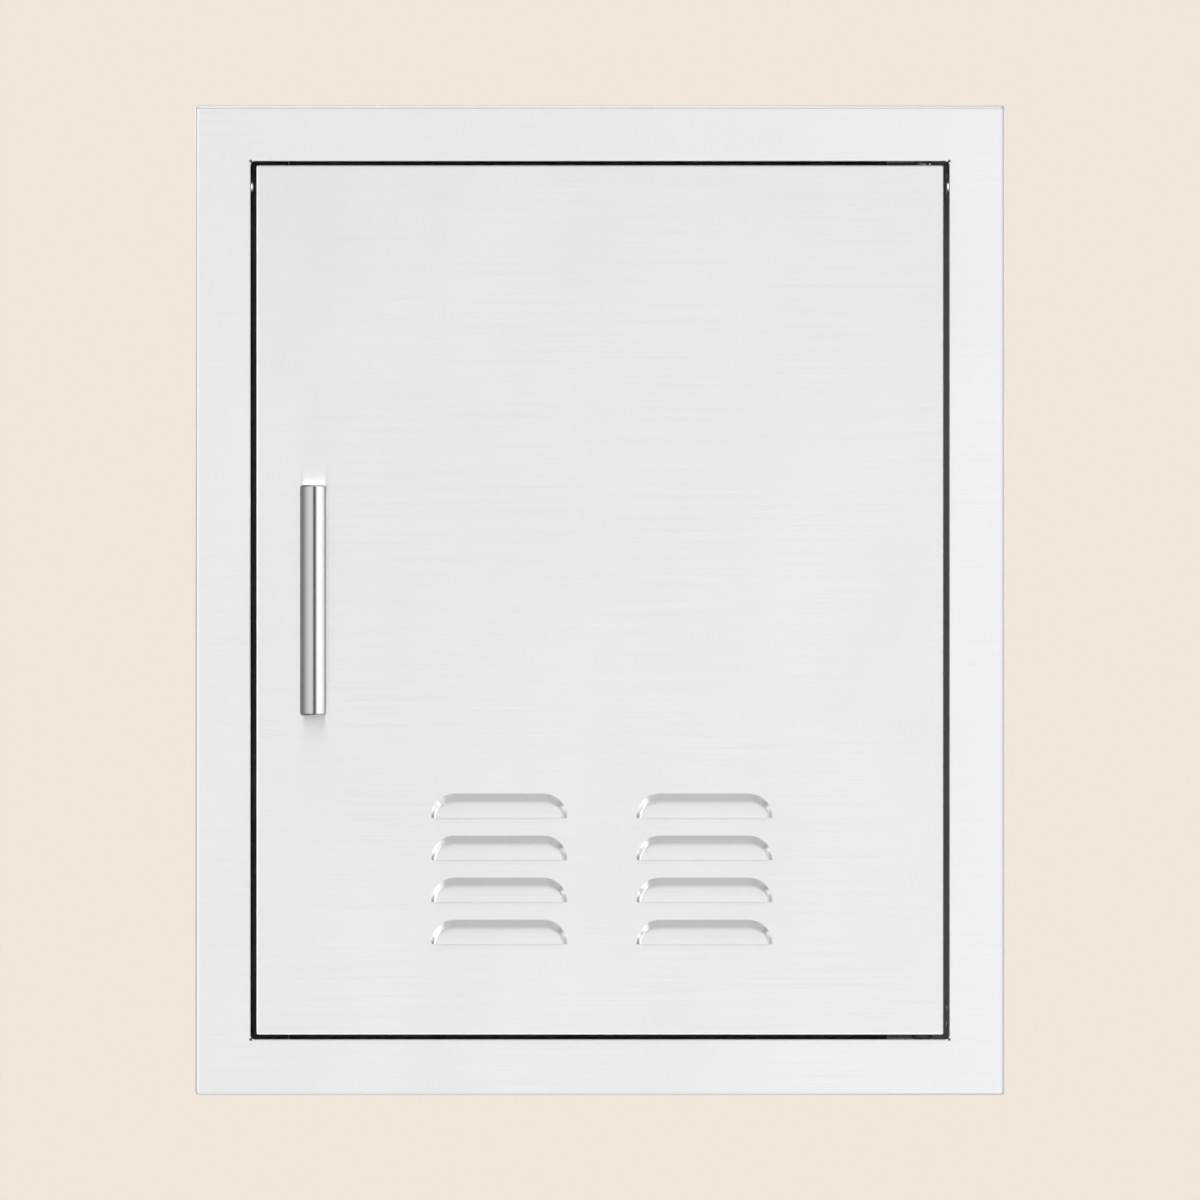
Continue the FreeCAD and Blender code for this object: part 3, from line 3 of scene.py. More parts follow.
import bmesh
import bpy
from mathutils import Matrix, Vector


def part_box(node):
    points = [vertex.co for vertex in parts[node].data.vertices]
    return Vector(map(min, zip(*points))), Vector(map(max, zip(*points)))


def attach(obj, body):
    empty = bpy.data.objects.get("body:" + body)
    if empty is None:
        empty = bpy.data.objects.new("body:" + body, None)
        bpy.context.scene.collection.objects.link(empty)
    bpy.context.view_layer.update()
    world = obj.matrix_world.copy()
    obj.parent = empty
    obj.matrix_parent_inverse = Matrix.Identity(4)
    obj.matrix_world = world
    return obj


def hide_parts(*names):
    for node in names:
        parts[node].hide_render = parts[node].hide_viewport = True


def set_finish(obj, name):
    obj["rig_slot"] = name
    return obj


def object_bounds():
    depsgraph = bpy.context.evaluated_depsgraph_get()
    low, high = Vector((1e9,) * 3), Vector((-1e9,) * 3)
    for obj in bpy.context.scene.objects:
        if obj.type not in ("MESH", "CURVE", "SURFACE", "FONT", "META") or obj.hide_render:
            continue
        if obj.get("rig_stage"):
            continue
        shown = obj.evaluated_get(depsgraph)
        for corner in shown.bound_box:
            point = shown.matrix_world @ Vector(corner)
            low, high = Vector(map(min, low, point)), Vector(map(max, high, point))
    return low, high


# Louvred access door for an outdoor kitchen island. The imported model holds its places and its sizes, in
# metres: X to the right, Y back into the island, Z up. The sections follow the door as it is put together.
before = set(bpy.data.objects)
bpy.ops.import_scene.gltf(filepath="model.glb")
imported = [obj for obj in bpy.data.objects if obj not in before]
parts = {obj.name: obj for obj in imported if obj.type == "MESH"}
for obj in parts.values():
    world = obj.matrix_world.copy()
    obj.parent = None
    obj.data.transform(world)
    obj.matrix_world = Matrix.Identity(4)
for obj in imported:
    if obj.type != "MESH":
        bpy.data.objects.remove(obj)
scene = bpy.context.scene
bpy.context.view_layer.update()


# Face frame: one stainless sheet, folded back round its outside and round its opening, brushed level.
# The fine scratches run along X, so its reflections are drawn out up and down.
def new_finish(name):
    """A material with its node tree and its surface shader."""
    made = bpy.data.materials.new(name)
    made.use_nodes = True
    return made, made.node_tree, made.node_tree.nodes["Principled BSDF"]


def add(tree, kind, **settings):
    """A shader node with its settings."""
    item = tree.nodes.new("ShaderNode" + kind)
    for name, value in settings.items():
        setattr(item, name, value)
    return item


def pattern(tree, waves, detail):
    """Noise on the piece's own coordinates, with so many waves to a metre along each axis."""
    place = add(tree, "TexCoord")
    mapping = add(tree, "Mapping")
    mapping.inputs["Scale"].default_value = waves
    noise = add(tree, "TexNoise")
    noise.inputs["Scale"].default_value = 1.0
    noise.inputs["Detail"].default_value = detail
    tree.links.new(place.outputs["Object"], mapping.inputs["Vector"])
    tree.links.new(mapping.outputs["Vector"], noise.inputs["Vector"])
    return noise.outputs["Fac"]


def spread(tree, value, low, high):
    """The noise's usual range, brought to the range from low to high."""
    usual_low = 0.3
    usual_high = 0.7
    item = add(tree, "MapRange")
    item.inputs["From Min"].default_value = usual_low
    item.inputs["From Max"].default_value = usual_high
    item.inputs["To Min"].default_value = low
    item.inputs["To Max"].default_value = high
    tree.links.new(value, item.inputs["Value"])
    return item.outputs["Result"]


def combine(tree, operation, first, second):
    """Two values worked into one."""
    item = add(tree, "Math", operation=operation)
    for socket, value in zip(item.inputs, (first, second)):
        if isinstance(value, float):
            socket.default_value = value
        else:
            tree.links.new(value, socket)
    return item.outputs["Value"]


def tinted(tree, colour, share):
    """The colour, made lighter and darker by the share."""
    item = add(tree, "VectorMath", operation="SCALE")
    item.inputs[0].default_value = colour
    tree.links.new(share, item.inputs["Scale"])
    return item.outputs["Vector"]


def relief(tree, shader, height, depth):
    """Turns a pattern into a fine relief of the depth given in metres."""
    bump = add(tree, "Bump")
    bump.inputs["Distance"].default_value = depth
    tree.links.new(height, bump.inputs["Height"])
    tree.links.new(bump.outputs["Normal"], shader.inputs["Normal"])


def brushed_steel(name, colour, scratches, roughness, anisotropy, drawn_out, tone_and_reflection_cloud, depth):
    """Steel brushed one way. The scratches give the waves to a metre along each axis, and drawn_out is
    the direction across them, which the reflections are drawn out in. The cloud share makes broad patches
    lighter or darker: uneven tone, and on the door's face also a painted reflection of soft cloudy
    surroundings.
    The depth is that of the scratches in metres."""
    streak = 0.015
    unevenness = 0.05
    made, tree, shader = new_finish(name)
    scratch = pattern(tree, waves=scratches, detail=4.0)
    clouds = pattern(tree, waves=(14.0, 14.0, 7.0), detail=2.0)
    streaks = spread(tree, scratch, 1 - streak, 1 + streak)
    tone_and_reflection_patches = spread(tree, clouds, 1 - tone_and_reflection_cloud, 1 + tone_and_reflection_cloud)
    lightness = combine(tree, "MULTIPLY", streaks, tone_and_reflection_patches)
    gloss = spread(tree, scratch, roughness * (1 - unevenness), roughness * (1 + unevenness))
    tree.links.new(tinted(tree, colour, lightness), shader.inputs["Base Color"])
    tree.links.new(gloss, shader.inputs["Roughness"])
    shader.inputs["Metallic"].default_value = 1.0
    shader.inputs["Anisotropic"].default_value = anisotropy
    direction = add(tree, "VectorTransform", vector_type="VECTOR", convert_from="OBJECT", convert_to="WORLD")
    direction.inputs["Vector"].default_value = drawn_out
    tree.links.new(direction.outputs["Vector"], shader.inputs["Tangent"])
    relief(tree, shader, scratch, depth)
    return made


def dress(finish, slot, *names):
    """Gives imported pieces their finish."""
    for name in names:
        piece = parts[name]
        piece.data.materials.clear()
        piece.data.materials.append(finish)
        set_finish(piece, slot)


# The hint of Y leaves a direction on faces that look straight up or down.
UP_AND_DOWN = (0.0, 0.02, 1.0)
# Its faint broad patches of lighter and darker colour are painted reflection, standing in for the steel's soft
# cloudy reflections, as well as uneven tone.
face_steel = brushed_steel(
    "face_steel", colour=(0.80, 0.80, 0.81), scratches=(12.0, 900.0, 900.0), roughness=0.19, anisotropy=1.0,
    drawn_out=UP_AND_DOWN, tone_and_reflection_cloud=0.015, depth=0.000002)
dress(face_steel, "face_steel", "face_frame")


# Rivets: stainless blind rivets. Two tie the frame's jambs to the sleeve and show in the side gaps, the
# others hold the sleeve's corners, the door's liner and the strike plate.
SAME_PLACE = 0.000001


def keep(made, name):
    """Turns a worked mesh into an object of the scene."""
    mesh = bpy.data.meshes.new(name)
    made.to_mesh(mesh)
    made.free()
    piece = bpy.data.objects.new(name, mesh)
    scene.collection.objects.link(piece)
    return piece


def turned(name, outline, steps):
    """A piece turned from an outline of radii and heights, which goes from the top of its axis outwards and
    down to the foot of its axis. Its faces are made in a fixed order, and each run gives the same mesh."""
    made = bmesh.new()
    top = made.verts.new((0.0, 0.0, outline[0][1]))
    foot = made.verts.new((0.0, 0.0, outline[-1][1]))
    columns = []
    for step in range(steps):
        turn = 2 * math.pi * step / steps
        column = [top]
        for radius, height in outline[1:-1]:
            column.append(made.verts.new((radius * math.cos(turn), radius * math.sin(turn), height)))
        columns.append(column + [foot])
    for column, after in zip(columns, columns[1:] + columns[:1]):
        for index in range(len(column) - 1):
            corners = [column[index], column[index + 1], after[index + 1], after[index]]
            if corners[0] is top:
                corners.pop(3)
            if corners[1] is foot:
                corners.pop(2)
            made.faces.new(corners)
    return keep(made, name)


def solids_of(node):
    """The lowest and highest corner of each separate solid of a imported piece, from left to right and, on one
    upright line, from below."""
    made = bmesh.new()
    made.from_mesh(parts[node].data)
    bmesh.ops.remove_doubles(made, verts=made.verts, dist=SAME_PLACE)
    waiting = set(made.verts)
    boxes = []
    while waiting:
        found = [waiting.pop()]
        corners = []
        while found:
            corner = found.pop()
            corners.append(corner.co.copy())
            near = [edge.other_vert(corner) for edge in corner.link_edges]
            fresh = [item for item in near if item in waiting]
            waiting.difference_update(fresh)
            found += fresh
        low = Vector([min(corner[axis] for corner in corners) for axis in range(3)])
        high = Vector([max(corner[axis] for corner in corners) for axis in range(3)])
        boxes.append((low, high))
    made.free()
    return sorted(boxes, key=lambda box: (round(box[0].x, 4), round(box[0].z, 4)))


def new_tree(name, inputs):
    """A Geometry Nodes tree with named inputs, and its first and last node."""
    tree = bpy.data.node_groups.new(name, "GeometryNodeTree")
    tree.interface.new_socket("Geometry", in_out="OUTPUT", socket_type="NodeSocketGeometry")
    tree.interface.new_socket("Geometry", in_out="INPUT", socket_type="NodeSocketGeometry")
    for title, kind in inputs.items():
        tree.interface.new_socket(title, in_out="INPUT", socket_type="NodeSocket" + kind)
    return tree, tree.nodes.new("NodeGroupInput"), tree.nodes.new("NodeGroupOutput")


def grow(name, tree, base, values):
    """Runs a tree on a base mesh and keeps the result as a plain piece."""
    piece = bpy.data.objects.new(name, base)
    modifier = piece.modifiers.new(tree.name, "NODES")
    modifier.node_group = tree
    for socket in tree.interface.items_tree:
        if socket.name in values:
            modifier[socket.identifier] = values[socket.name]
    scene.collection.objects.link(piece)
    settle(piece)
    return piece


def settle(piece):
    """Turns what the piece's modifiers make into its own mesh."""
    ready = bpy.context.evaluated_depsgraph_get()
    made = bpy.data.meshes.new_from_object(piece.evaluated_get(ready))
    piece.modifiers.clear()
    piece.data = made


def fastener_tree():
    """Sets a copy of a fastener on each point, with its axis along the point's facing and a turn of its
    own. The fourth input and the second output of the random value are those for plain numbers."""
    tree, start, end = new_tree("fastener_rows", {
        "Fastener": "Object", "Finish": "Material", "Seed": "Int"})
    fastener = tree.nodes.new("GeometryNodeObjectInfo")
    facing = tree.nodes.new("GeometryNodeInputNamedAttribute")
    facing.data_type = "FLOAT_VECTOR"
    facing.inputs["Name"].default_value = "facing"
    align = tree.nodes.new("FunctionNodeAlignRotationToVector")
    align.axis = "Z"
    chance = tree.nodes.new("FunctionNodeRandomValue")
    chance.inputs[3].default_value = 2 * math.pi
    turn = tree.nodes.new("FunctionNodeAxisAngleToRotation")
    rotate = tree.nodes.new("FunctionNodeRotateRotation")
    rotate.rotation_space = "LOCAL"
    copies = tree.nodes.new("GeometryNodeInstanceOnPoints")
    solid = tree.nodes.new("GeometryNodeRealizeInstances")
    coat = tree.nodes.new("GeometryNodeSetMaterial")
    link = tree.links.new
    link(start.outputs["Fastener"], fastener.inputs["Object"])
    link(facing.outputs["Attribute"], align.inputs["Vector"])
    link(start.outputs["Seed"], chance.inputs["Seed"])
    link(chance.outputs[1], turn.inputs["Angle"])
    link(align.outputs["Rotation"], rotate.inputs["Rotation"])
    link(turn.outputs["Rotation"], rotate.inputs["Rotate By"])
    link(start.outputs["Geometry"], copies.inputs["Points"])
    link(fastener.outputs["Geometry"], copies.inputs["Instance"])
    link(rotate.outputs["Rotation"], copies.inputs["Rotation"])
    link(copies.outputs["Instances"], solid.inputs["Geometry"])
    link(solid.outputs["Geometry"], coat.inputs["Geometry"])
    link(start.outputs["Finish"], coat.inputs["Material"])
    link(coat.outputs["Geometry"], end.inputs["Geometry"])
    return tree


fastener_rows = fastener_tree()


def smooth_by_angle(piece):
    """Smooth faces, with sharp edges where two faces meet at more than 35 degrees."""
    piece.data.shade_smooth()
    piece.data.set_sharp_from_angle(angle=math.radians(35))


def fasteners(name, node, body, slot, finish, pattern_piece, seats):
    """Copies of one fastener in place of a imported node. The seats are pairs of a place and a facing."""
    points = bpy.data.meshes.new(name + "_places")
    points.from_pydata([seat for seat, facing in seats], [], [])
    attribute = points.attributes.new("facing", "FLOAT_VECTOR", "POINT")
    attribute.data.foreach_set("vector", [value for seat, facing in seats for value in facing])
    values = {"Fastener": pattern_piece, "Finish": finish, "Seed": 7}
    piece = grow(name, fastener_rows, points, values)
    smooth_by_angle(piece)
    bpy.data.objects.remove(pattern_piece)
    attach(piece, body)
    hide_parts(node)
    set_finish(piece, slot)


def blind_rivet(name, head_radius, head_height, length):
    """A set blind rivet: a domed head with the mandrel's end in it, a shank and a swollen tail. Its head's
    seat is at the origin, and its head faces along Z."""
    shank = 0.0016
    mandrel = 0.0010
    tail_radius = 0.0025
    tail_height = 0.0008
    sunk = head_height * 0.8
    crown = head_radius * 0.86
    crown_height = head_height * 0.92
    rim = head_radius - crown
    rim_height = head_height * 0.7
    rim_steps = 4
    outline = [(0.0, sunk), (mandrel * 0.85, sunk), (mandrel, head_height)]
    outline += [(crown * 0.75, head_height * 0.98), (crown, crown_height)]
    for step in range(1, rim_steps + 1):
        turn = math.pi / 2 * step / rim_steps
        fall = (crown_height - rim_height) * math.cos(turn)
        outline.append((crown + rim * math.sin(turn), rim_height + fall))
    outline.append((head_radius, 0.0))
    outline += [(shank, 0.0), (shank, tail_height - length), (tail_radius, tail_height * 0.6 - length)]
    outline += [(tail_radius * 0.8, -length), (0.0, -length)]
    return turned(name, outline, steps=24)


rivet_steel = brushed_steel(
    "rivet_steel", colour=(0.82, 0.82, 0.82), scratches=(300.0, 300.0, 300.0), roughness=0.35, anisotropy=0.0,
    drawn_out=UP_AND_DOWN, tone_and_reflection_cloud=0.0, depth=0.00001)


def rivet_seats(node, axis, side, head_height):
    """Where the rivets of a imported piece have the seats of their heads. The heads face away from the door's
    middle along the axis, or towards it where side is -1."""
    seats = []
    for low, high in solids_of(node):
        middle = (low + high) / 2
        way = side * math.copysign(1.0, middle[axis])
        facing = [0.0, 0.0, 0.0]
        facing[axis] = way
        middle[axis] = (high[axis] if way > 0 else low[axis]) - way * head_height
        seats.append((tuple(middle), facing))
    return seats


def riveted(name, node, body, axis, side, head_height):
    """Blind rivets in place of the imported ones, of their size."""
    low, high = solids_of(node)[0]
    head_radius = (high - low)[2] / 2
    length = (high - low)[axis] - head_height
    rivet = blind_rivet(name + "_pattern", head_radius, head_height, length)
    seats = rivet_seats(node, axis, side, head_height)
    fasteners(name, node, body, "rivet_steel", rivet_steel, rivet, seats)


riveted("jamb_rivet_pair", "jamb_rivets", "frame", axis=0, side=-1, head_height=0.0012)
riveted("sleeve_corner_rivets", "sleeve_rivets", "frame", axis=0, side=1, head_height=0.0008)
riveted("liner_lip_rivets", "liner_rivets", "door", axis=1, side=1, head_height=0.0008)
dress(rivet_steel, "rivet_steel", "strike_rivets")


# Sleeve: four stainless panels with a dull mill finish that line the island's cut-out. They are riveted to
# each other at the corners, and screws through their holes hold them in the island.
sheet_steel = brushed_steel(
    "sheet_steel", colour=(0.60, 0.60, 0.61), scratches=(60.0, 60.0, 60.0), roughness=0.47, anisotropy=0.2,
    drawn_out=UP_AND_DOWN, tone_and_reflection_cloud=0.02, depth=0.000004)
dress(sheet_steel, "sheet_steel", "sleeve_left", "sleeve_right", "sleeve_top", "sleeve_bottom")


# Stop strips: steel angles, drawn near-black as painted shade that keeps the gaps round the door dark. They
# sit behind the door's edge on three sides and not on the hinge side. Rubber bumpers on them take up the knock
# of the closing door.
def plain_finish(name, colour, roughness, waves, unevenness, metallic=0.0):
    """Paint, plastic, rubber or plain wire with a slightly uneven colour and gloss."""
    dulling = 0.1
    made, tree, shader = new_finish(name)
    mottle = pattern(tree, waves=(waves, waves, waves), detail=3.0)
    light = spread(tree, mottle, 1 - unevenness, 1 + unevenness)
    gloss = spread(tree, mottle, roughness * (1 - dulling), roughness * (1 + dulling))
    tree.links.new(tinted(tree, colour, light), shader.inputs["Base Color"])
    tree.links.new(gloss, shader.inputs["Roughness"])
    shader.inputs["Metallic"].default_value = metallic
    return made


def eased(name, node, body, width):
    """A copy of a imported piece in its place, with its edges rounded, as cut and moulded edges are."""
    packed = parts[node]
    made = bmesh.new()
    made.from_mesh(packed.data)
    bmesh.ops.remove_doubles(made, verts=made.verts, dist=SAME_PLACE)
    bmesh.ops.dissolve_limit(made, angle_limit=math.radians(0.5), verts=made.verts, edges=made.edges)
    piece = keep(made, name)
    piece.data.materials.append(packed.data.materials[0])
    smooth_by_angle(piece)
    edges = piece.modifiers.new("eased_edges", "BEVEL")
    edges.width = width
    edges.segments = 2
    edges.limit_method = "ANGLE"
    edges.angle_limit = math.radians(50)
    normals = piece.modifiers.new("flat_faces_stay_flat", "WEIGHTED_NORMAL")
    normals.keep_sharp = True
    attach(piece, body)
    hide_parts(node)
    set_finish(piece, packed["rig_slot"])


# Near-black colour: painted shade for the dark gaps round the door.
stop_black = plain_finish(
    "stop_black", colour=(0.07, 0.07, 0.07), roughness=0.45, waves=400.0, unevenness=0.2)
dress(stop_black, "stop_black", "stop_left", "stop_top", "stop_bottom")
eased("stop_strip_left", "stop_left", "frame", width=0.0002)
eased("stop_strip_top", "stop_top", "frame", width=0.0002)
eased("stop_strip_bottom", "stop_bottom", "frame", width=0.0002)
rubber = plain_finish("rubber", colour=(0.03, 0.03, 0.03), roughness=0.7, waves=900.0, unevenness=0.3)
dress(rubber, "rubber", "stop_bumpers")


# Pivot hinge: plates on the frame and brackets on the door, in zinc-plated steel, with pins that turn in nylon
# bushes, drawn near-black as painted shade that keeps the hinge-side gap dark. The top pin slides down against
# a coil spring, by its finger tab, to let the door out.
hardware_steel = brushed_steel(
    "hardware_steel", colour=(0.62, 0.62, 0.60), scratches=(90.0, 90.0, 90.0), roughness=0.38, anisotropy=0.0,
    drawn_out=UP_AND_DOWN, tone_and_reflection_cloud=0.02, depth=0.000004)
dress(
    hardware_steel, "hardware_steel", "hinge_plate_top", "hinge_plate_bottom", "top_pin_bracket",
    "bottom_pin_bracket", "bottom_pivot_pin", "top_pivot_pin", "pin_collar", "pin_pull_tab")
eased("hinge_plate_upper", "hinge_plate_top", "frame", width=0.0003)
eased("hinge_plate_lower", "hinge_plate_bottom", "frame", width=0.0003)
eased("pin_tab", "pin_pull_tab", "top_pin", width=0.0003)
# The nylon's near-black colour is painted shade, which keeps the hinge-side gap dark.
nylon = plain_finish("nylon", colour=(0.05, 0.05, 0.05), roughness=0.45, waves=300.0, unevenness=0.03)
dress(nylon, "nylon", "pivot_bush_top", "pivot_bush_bottom", "thrust_washer")
spring_steel = plain_finish(
    "spring_steel", colour=(0.45, 0.45, 0.46), roughness=0.3, waves=500.0, unevenness=0.05, metallic=1.0)
dress(spring_steel, "spring_steel", "pin_spring")


# Magnetic catch: a moulded black housing with a ferrite magnet between two steel pole plates, screwed through
# the left stop strip to the sleeve. It pulls on a zinc-plated strike plate that is riveted to the door.
catch_plastic = plain_finish(
    "catch_plastic", colour=(0.05, 0.05, 0.05), roughness=0.4, waves=700.0, unevenness=0.1)
dress(catch_plastic, "catch_plastic", "catch_housing")
eased("catch_body", "catch_housing", "frame", width=0.0006)
magnet = plain_finish("magnet", colour=(0.10, 0.10, 0.11), roughness=0.6, waves=700.0, unevenness=0.2)
dress(magnet, "magnet", "catch_magnet")
eased("catch_ferrite", "catch_magnet", "frame", width=0.0003)
dress(hardware_steel, "hardware_steel", "catch_pole_plates", "catch_screws", "strike_plate")
eased("catch_poles", "catch_pole_plates", "frame", width=0.0002)
eased("catch_strike", "strike_plate", "door", width=0.0002)


# Door skin: a folded stainless pan, brushed level, with eight louvres pressed out of its face in two
# columns. Each louvre is lanced along its lower edge, where it stands furthest out and lets air in.
SKIN_SHEET = 0.0012
SKIN_FOLD = 0.0011
SKIN_LIP = 0.014
LOUVRE_WIDTH = 0.0769
LOUVRE_HEIGHT = 0.014
LOUVRE_SIDE = 0.0005
LOUVRE_PITCH_ACROSS = 0.1159
LOUVRE_PITCH_UP = 0.02375
LOUVRE_SHIFT = 0.00095
LOUVRE_FOOT = 0.0512
LOUVRE_COLUMNS = 2
LOUVRE_ROWS = 4
BAND_WIDTH = 0.0065
BAND_NARROWEST = 0.43
SLOPE_ANGLE = math.radians(30)
SLOPE_END = 0.0042
SLOPE_FOOT_RADIUS = 0.0006
CROWN_ANGLE = math.radians(7.6)
CROWN_LEAN = 0.00048


def louvre_outline():
    """Places on the louvre's outline from its left foot over its top to its right foot, each with the way
    inwards and with the share of the full width that the pressed band has there."""
    radius = LOUVRE_HEIGHT - LOUVRE_SIDE
    half = LOUVRE_WIDTH / 2
    arc_steps = 16
    top_steps = 8
    left = [((-half, 0.0), (1.0, 0.0), BAND_NARROWEST)]
    for step in range(arc_steps + 1):
        turn = math.pi / 2 * step / arc_steps
        place = (-half + radius * (1 - math.cos(turn)), LOUVRE_SIDE + radius * math.sin(turn))
        width = BAND_NARROWEST + (1 - BAND_NARROWEST) * math.sin(turn) ** 2
        left.append((place, (math.cos(turn), -math.sin(turn)), width))
    top = left[-1][0]
    middle = []
    for step in range(1, top_steps):
        middle.append(((top[0] * (1 - 2 * step / top_steps), top[1]), (0.0, -1.0), 1.0))
    right = [((-place[0], place[1]), (-way[0], way[1]), width) for place, way, width in reversed(left)]
    return left + middle + right


def slope_section():
    """Insets and rises of the pressed band: a tight foot, a straight slope and a soft crown."""
    foot_steps = 3
    slope_steps = 4
    crown_steps = 6
    section = []
    for step in range(foot_steps + 1):
        turn = SLOPE_ANGLE * step / foot_steps
        section.append((SLOPE_FOOT_RADIUS * math.sin(turn), SLOPE_FOOT_RADIUS * (1 - math.cos(turn))))
    inset, rise = section[-1]
    for step in range(1, slope_steps + 1):
        run = (SLOPE_END - inset) * step / slope_steps
        section.append((inset + run, rise + run * math.tan(SLOPE_ANGLE)))
    inset, rise = section[-1]
    crown_radius = (BAND_WIDTH - SLOPE_END) / (math.sin(SLOPE_ANGLE) - math.sin(CROWN_ANGLE))
    for step in range(1, crown_steps + 1):
        turn = SLOPE_ANGLE + (CROWN_ANGLE - SLOPE_ANGLE) * step / crown_steps
        section.append((
            inset + crown_radius * (math.sin(SLOPE_ANGLE) - math.sin(turn)),
            rise + crown_radius * (math.cos(turn) - math.cos(SLOPE_ANGLE))))
    return section


def louvre_hood(front):
    """One louvre as a single sheet, with its lower edge on the origin's level. Its flat part leans out a
    little towards the lower edge."""
    made = bmesh.new()
    section = slope_section()
    crown_rise = section[-1][1]
    crown_height = LOUVRE_HEIGHT - BAND_WIDTH
    outline = louvre_outline()

    def corner(x, z, rise):
        lean = CROWN_LEAN * (1 - min(1.0, z / crown_height) ** 2)
        return made.verts.new((x, front - rise * (1 + lean / crown_rise), z))

    rows = []
    for inset, rise in section:
        rows.append([
            corner(place[0] + way[0] * inset * width, place[1] + way[1] * inset * width, rise)
            for place, way, width in outline])
    flat_steps = 5
    brim = [item.co.copy() for item in rows[-1]]
    for step in range(1, flat_steps + 1):
        rows.append([corner(item.x, item.z * (1 - step / flat_steps), crown_rise) for item in brim])
    for outer, inner in zip(rows, rows[1:]):
        for index in range(len(outer) - 1):
            made.faces.new((outer[index], inner[index], inner[index + 1], outer[index + 1]))
    bmesh.ops.remove_doubles(made, verts=made.verts, dist=SAME_PLACE)
    bmesh.ops.dissolve_degenerate(made, edges=made.edges, dist=SAME_PLACE)
    return keep(made, "louvre_hood")


def skin_pan(low, high, first):
    """The pan without its louvres, as a single sheet: face, folds, sides and rear lips."""
    made = bmesh.new()
    corners = bmesh.ops.create_cube(made, size=1.0)["verts"]
    for corner in corners:
        corner.co = [(low[axis] if corner.co[axis] < 0 else high[axis]) for axis in range(3)]
    bmesh.ops.bevel(
        made, geom=made.edges[:], offset=SKIN_FOLD, segments=5, profile=0.5, affect="EDGES")
    made.normal_update()
    back = max(made.faces, key=lambda face: face.normal.y * face.calc_area())
    bmesh.ops.inset_region(made, faces=[back], thickness=SKIN_LIP - SKIN_FOLD)
    face = min(made.faces, key=lambda item: item.normal.y * item.calc_area())
    rim = list(face.edges)
    bmesh.ops.delete(made, geom=[face, back], context="FACES_ONLY")
    for column in range(LOUVRE_COLUMNS):
        for rank in range(LOUVRE_ROWS):
            x = first[0] + column * LOUVRE_PITCH_ACROSS
            z = first[2] + rank * LOUVRE_PITCH_UP
            loop = [made.verts.new((x + dx, low.y, z + dz)) for (dx, dz), way, width in louvre_outline()]
            rim += [made.edges.new(pair) for pair in zip(loop, loop[1:] + loop[:1])]
    bmesh.ops.triangle_fill(made, edges=rim, use_beauty=True, normal=(0, -1, 0))
    return made


def cut_pull_slot(made):
    """Opens the rear lip where the finger tab of the top pin comes through and slides down."""
    facing_back = 0.99
    right_lip = 0.17
    clearance = 0.001
    tab_sheet = 0.002
    travel = 0.0075
    tab_low, tab_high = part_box("pin_pull_tab")
    low_z = tab_high.z - tab_sheet - travel - clearance
    high_z = tab_high.z + clearance
    right = tab_high.x + clearance
    for place, way in (((0, 0, low_z), (0, 0, 1)), ((0, 0, high_z), (0, 0, 1)), ((right, 0, 0), (1, 0, 0))):
        rear = [face for face in made.faces if face.normal.y > facing_back]
        lip = [face for face in rear if face.calc_center_median().x > right_lip]
        around = {item for face in lip for item in [*face.edges, *face.verts]}
        bmesh.ops.bisect_plane(made, geom=lip + list(around), plane_co=place, plane_no=way)
    inside = []
    for face in made.faces:
        middle = face.calc_center_median()
        if face.normal.y > facing_back and tab_low.x < middle.x < right and low_z < middle.z < high_z:
            inside.append(face)
    bmesh.ops.delete(made, geom=inside, context="FACES")


def louvre_tree():
    """Sets a louvre on each place of a grid, welds them into the pan and gives it its finish."""
    tree, start, end = new_tree("louvre_rows", {
        "Louvre": "Object", "First": "Vector", "Across": "Vector", "Up": "Vector", "Columns": "Int",
        "Rows": "Int", "Finish": "Material"})
    louvre = tree.nodes.new("GeometryNodeObjectInfo")
    columns = tree.nodes.new("GeometryNodeMeshLine")
    rows = tree.nodes.new("GeometryNodeMeshLine")
    grid = tree.nodes.new("GeometryNodeInstanceOnPoints")
    places = tree.nodes.new("GeometryNodeRealizeInstances")
    copies = tree.nodes.new("GeometryNodeInstanceOnPoints")
    together = tree.nodes.new("GeometryNodeJoinGeometry")
    solid = tree.nodes.new("GeometryNodeRealizeInstances")
    weld = tree.nodes.new("GeometryNodeMergeByDistance")
    weld.inputs["Distance"].default_value = 0.00002
    coat = tree.nodes.new("GeometryNodeSetMaterial")
    link = tree.links.new
    link(start.outputs["Louvre"], louvre.inputs["Object"])
    link(start.outputs["Columns"], columns.inputs["Count"])
    link(start.outputs["First"], columns.inputs["Start Location"])
    link(start.outputs["Across"], columns.inputs["Offset"])
    link(start.outputs["Rows"], rows.inputs["Count"])
    link(start.outputs["Up"], rows.inputs["Offset"])
    link(columns.outputs["Mesh"], grid.inputs["Points"])
    link(rows.outputs["Mesh"], grid.inputs["Instance"])
    link(grid.outputs["Instances"], places.inputs["Geometry"])
    link(places.outputs["Geometry"], copies.inputs["Points"])
    link(louvre.outputs["Geometry"], copies.inputs["Instance"])
    link(start.outputs["Geometry"], together.inputs["Geometry"])
    link(copies.outputs["Instances"], together.inputs["Geometry"])
    link(together.outputs["Geometry"], solid.inputs["Geometry"])
    link(solid.outputs["Geometry"], weld.inputs["Geometry"])
    link(weld.outputs["Geometry"], coat.inputs["Geometry"])
    link(start.outputs["Finish"], coat.inputs["Material"])
    link(coat.outputs["Geometry"], end.inputs["Geometry"])
    return tree


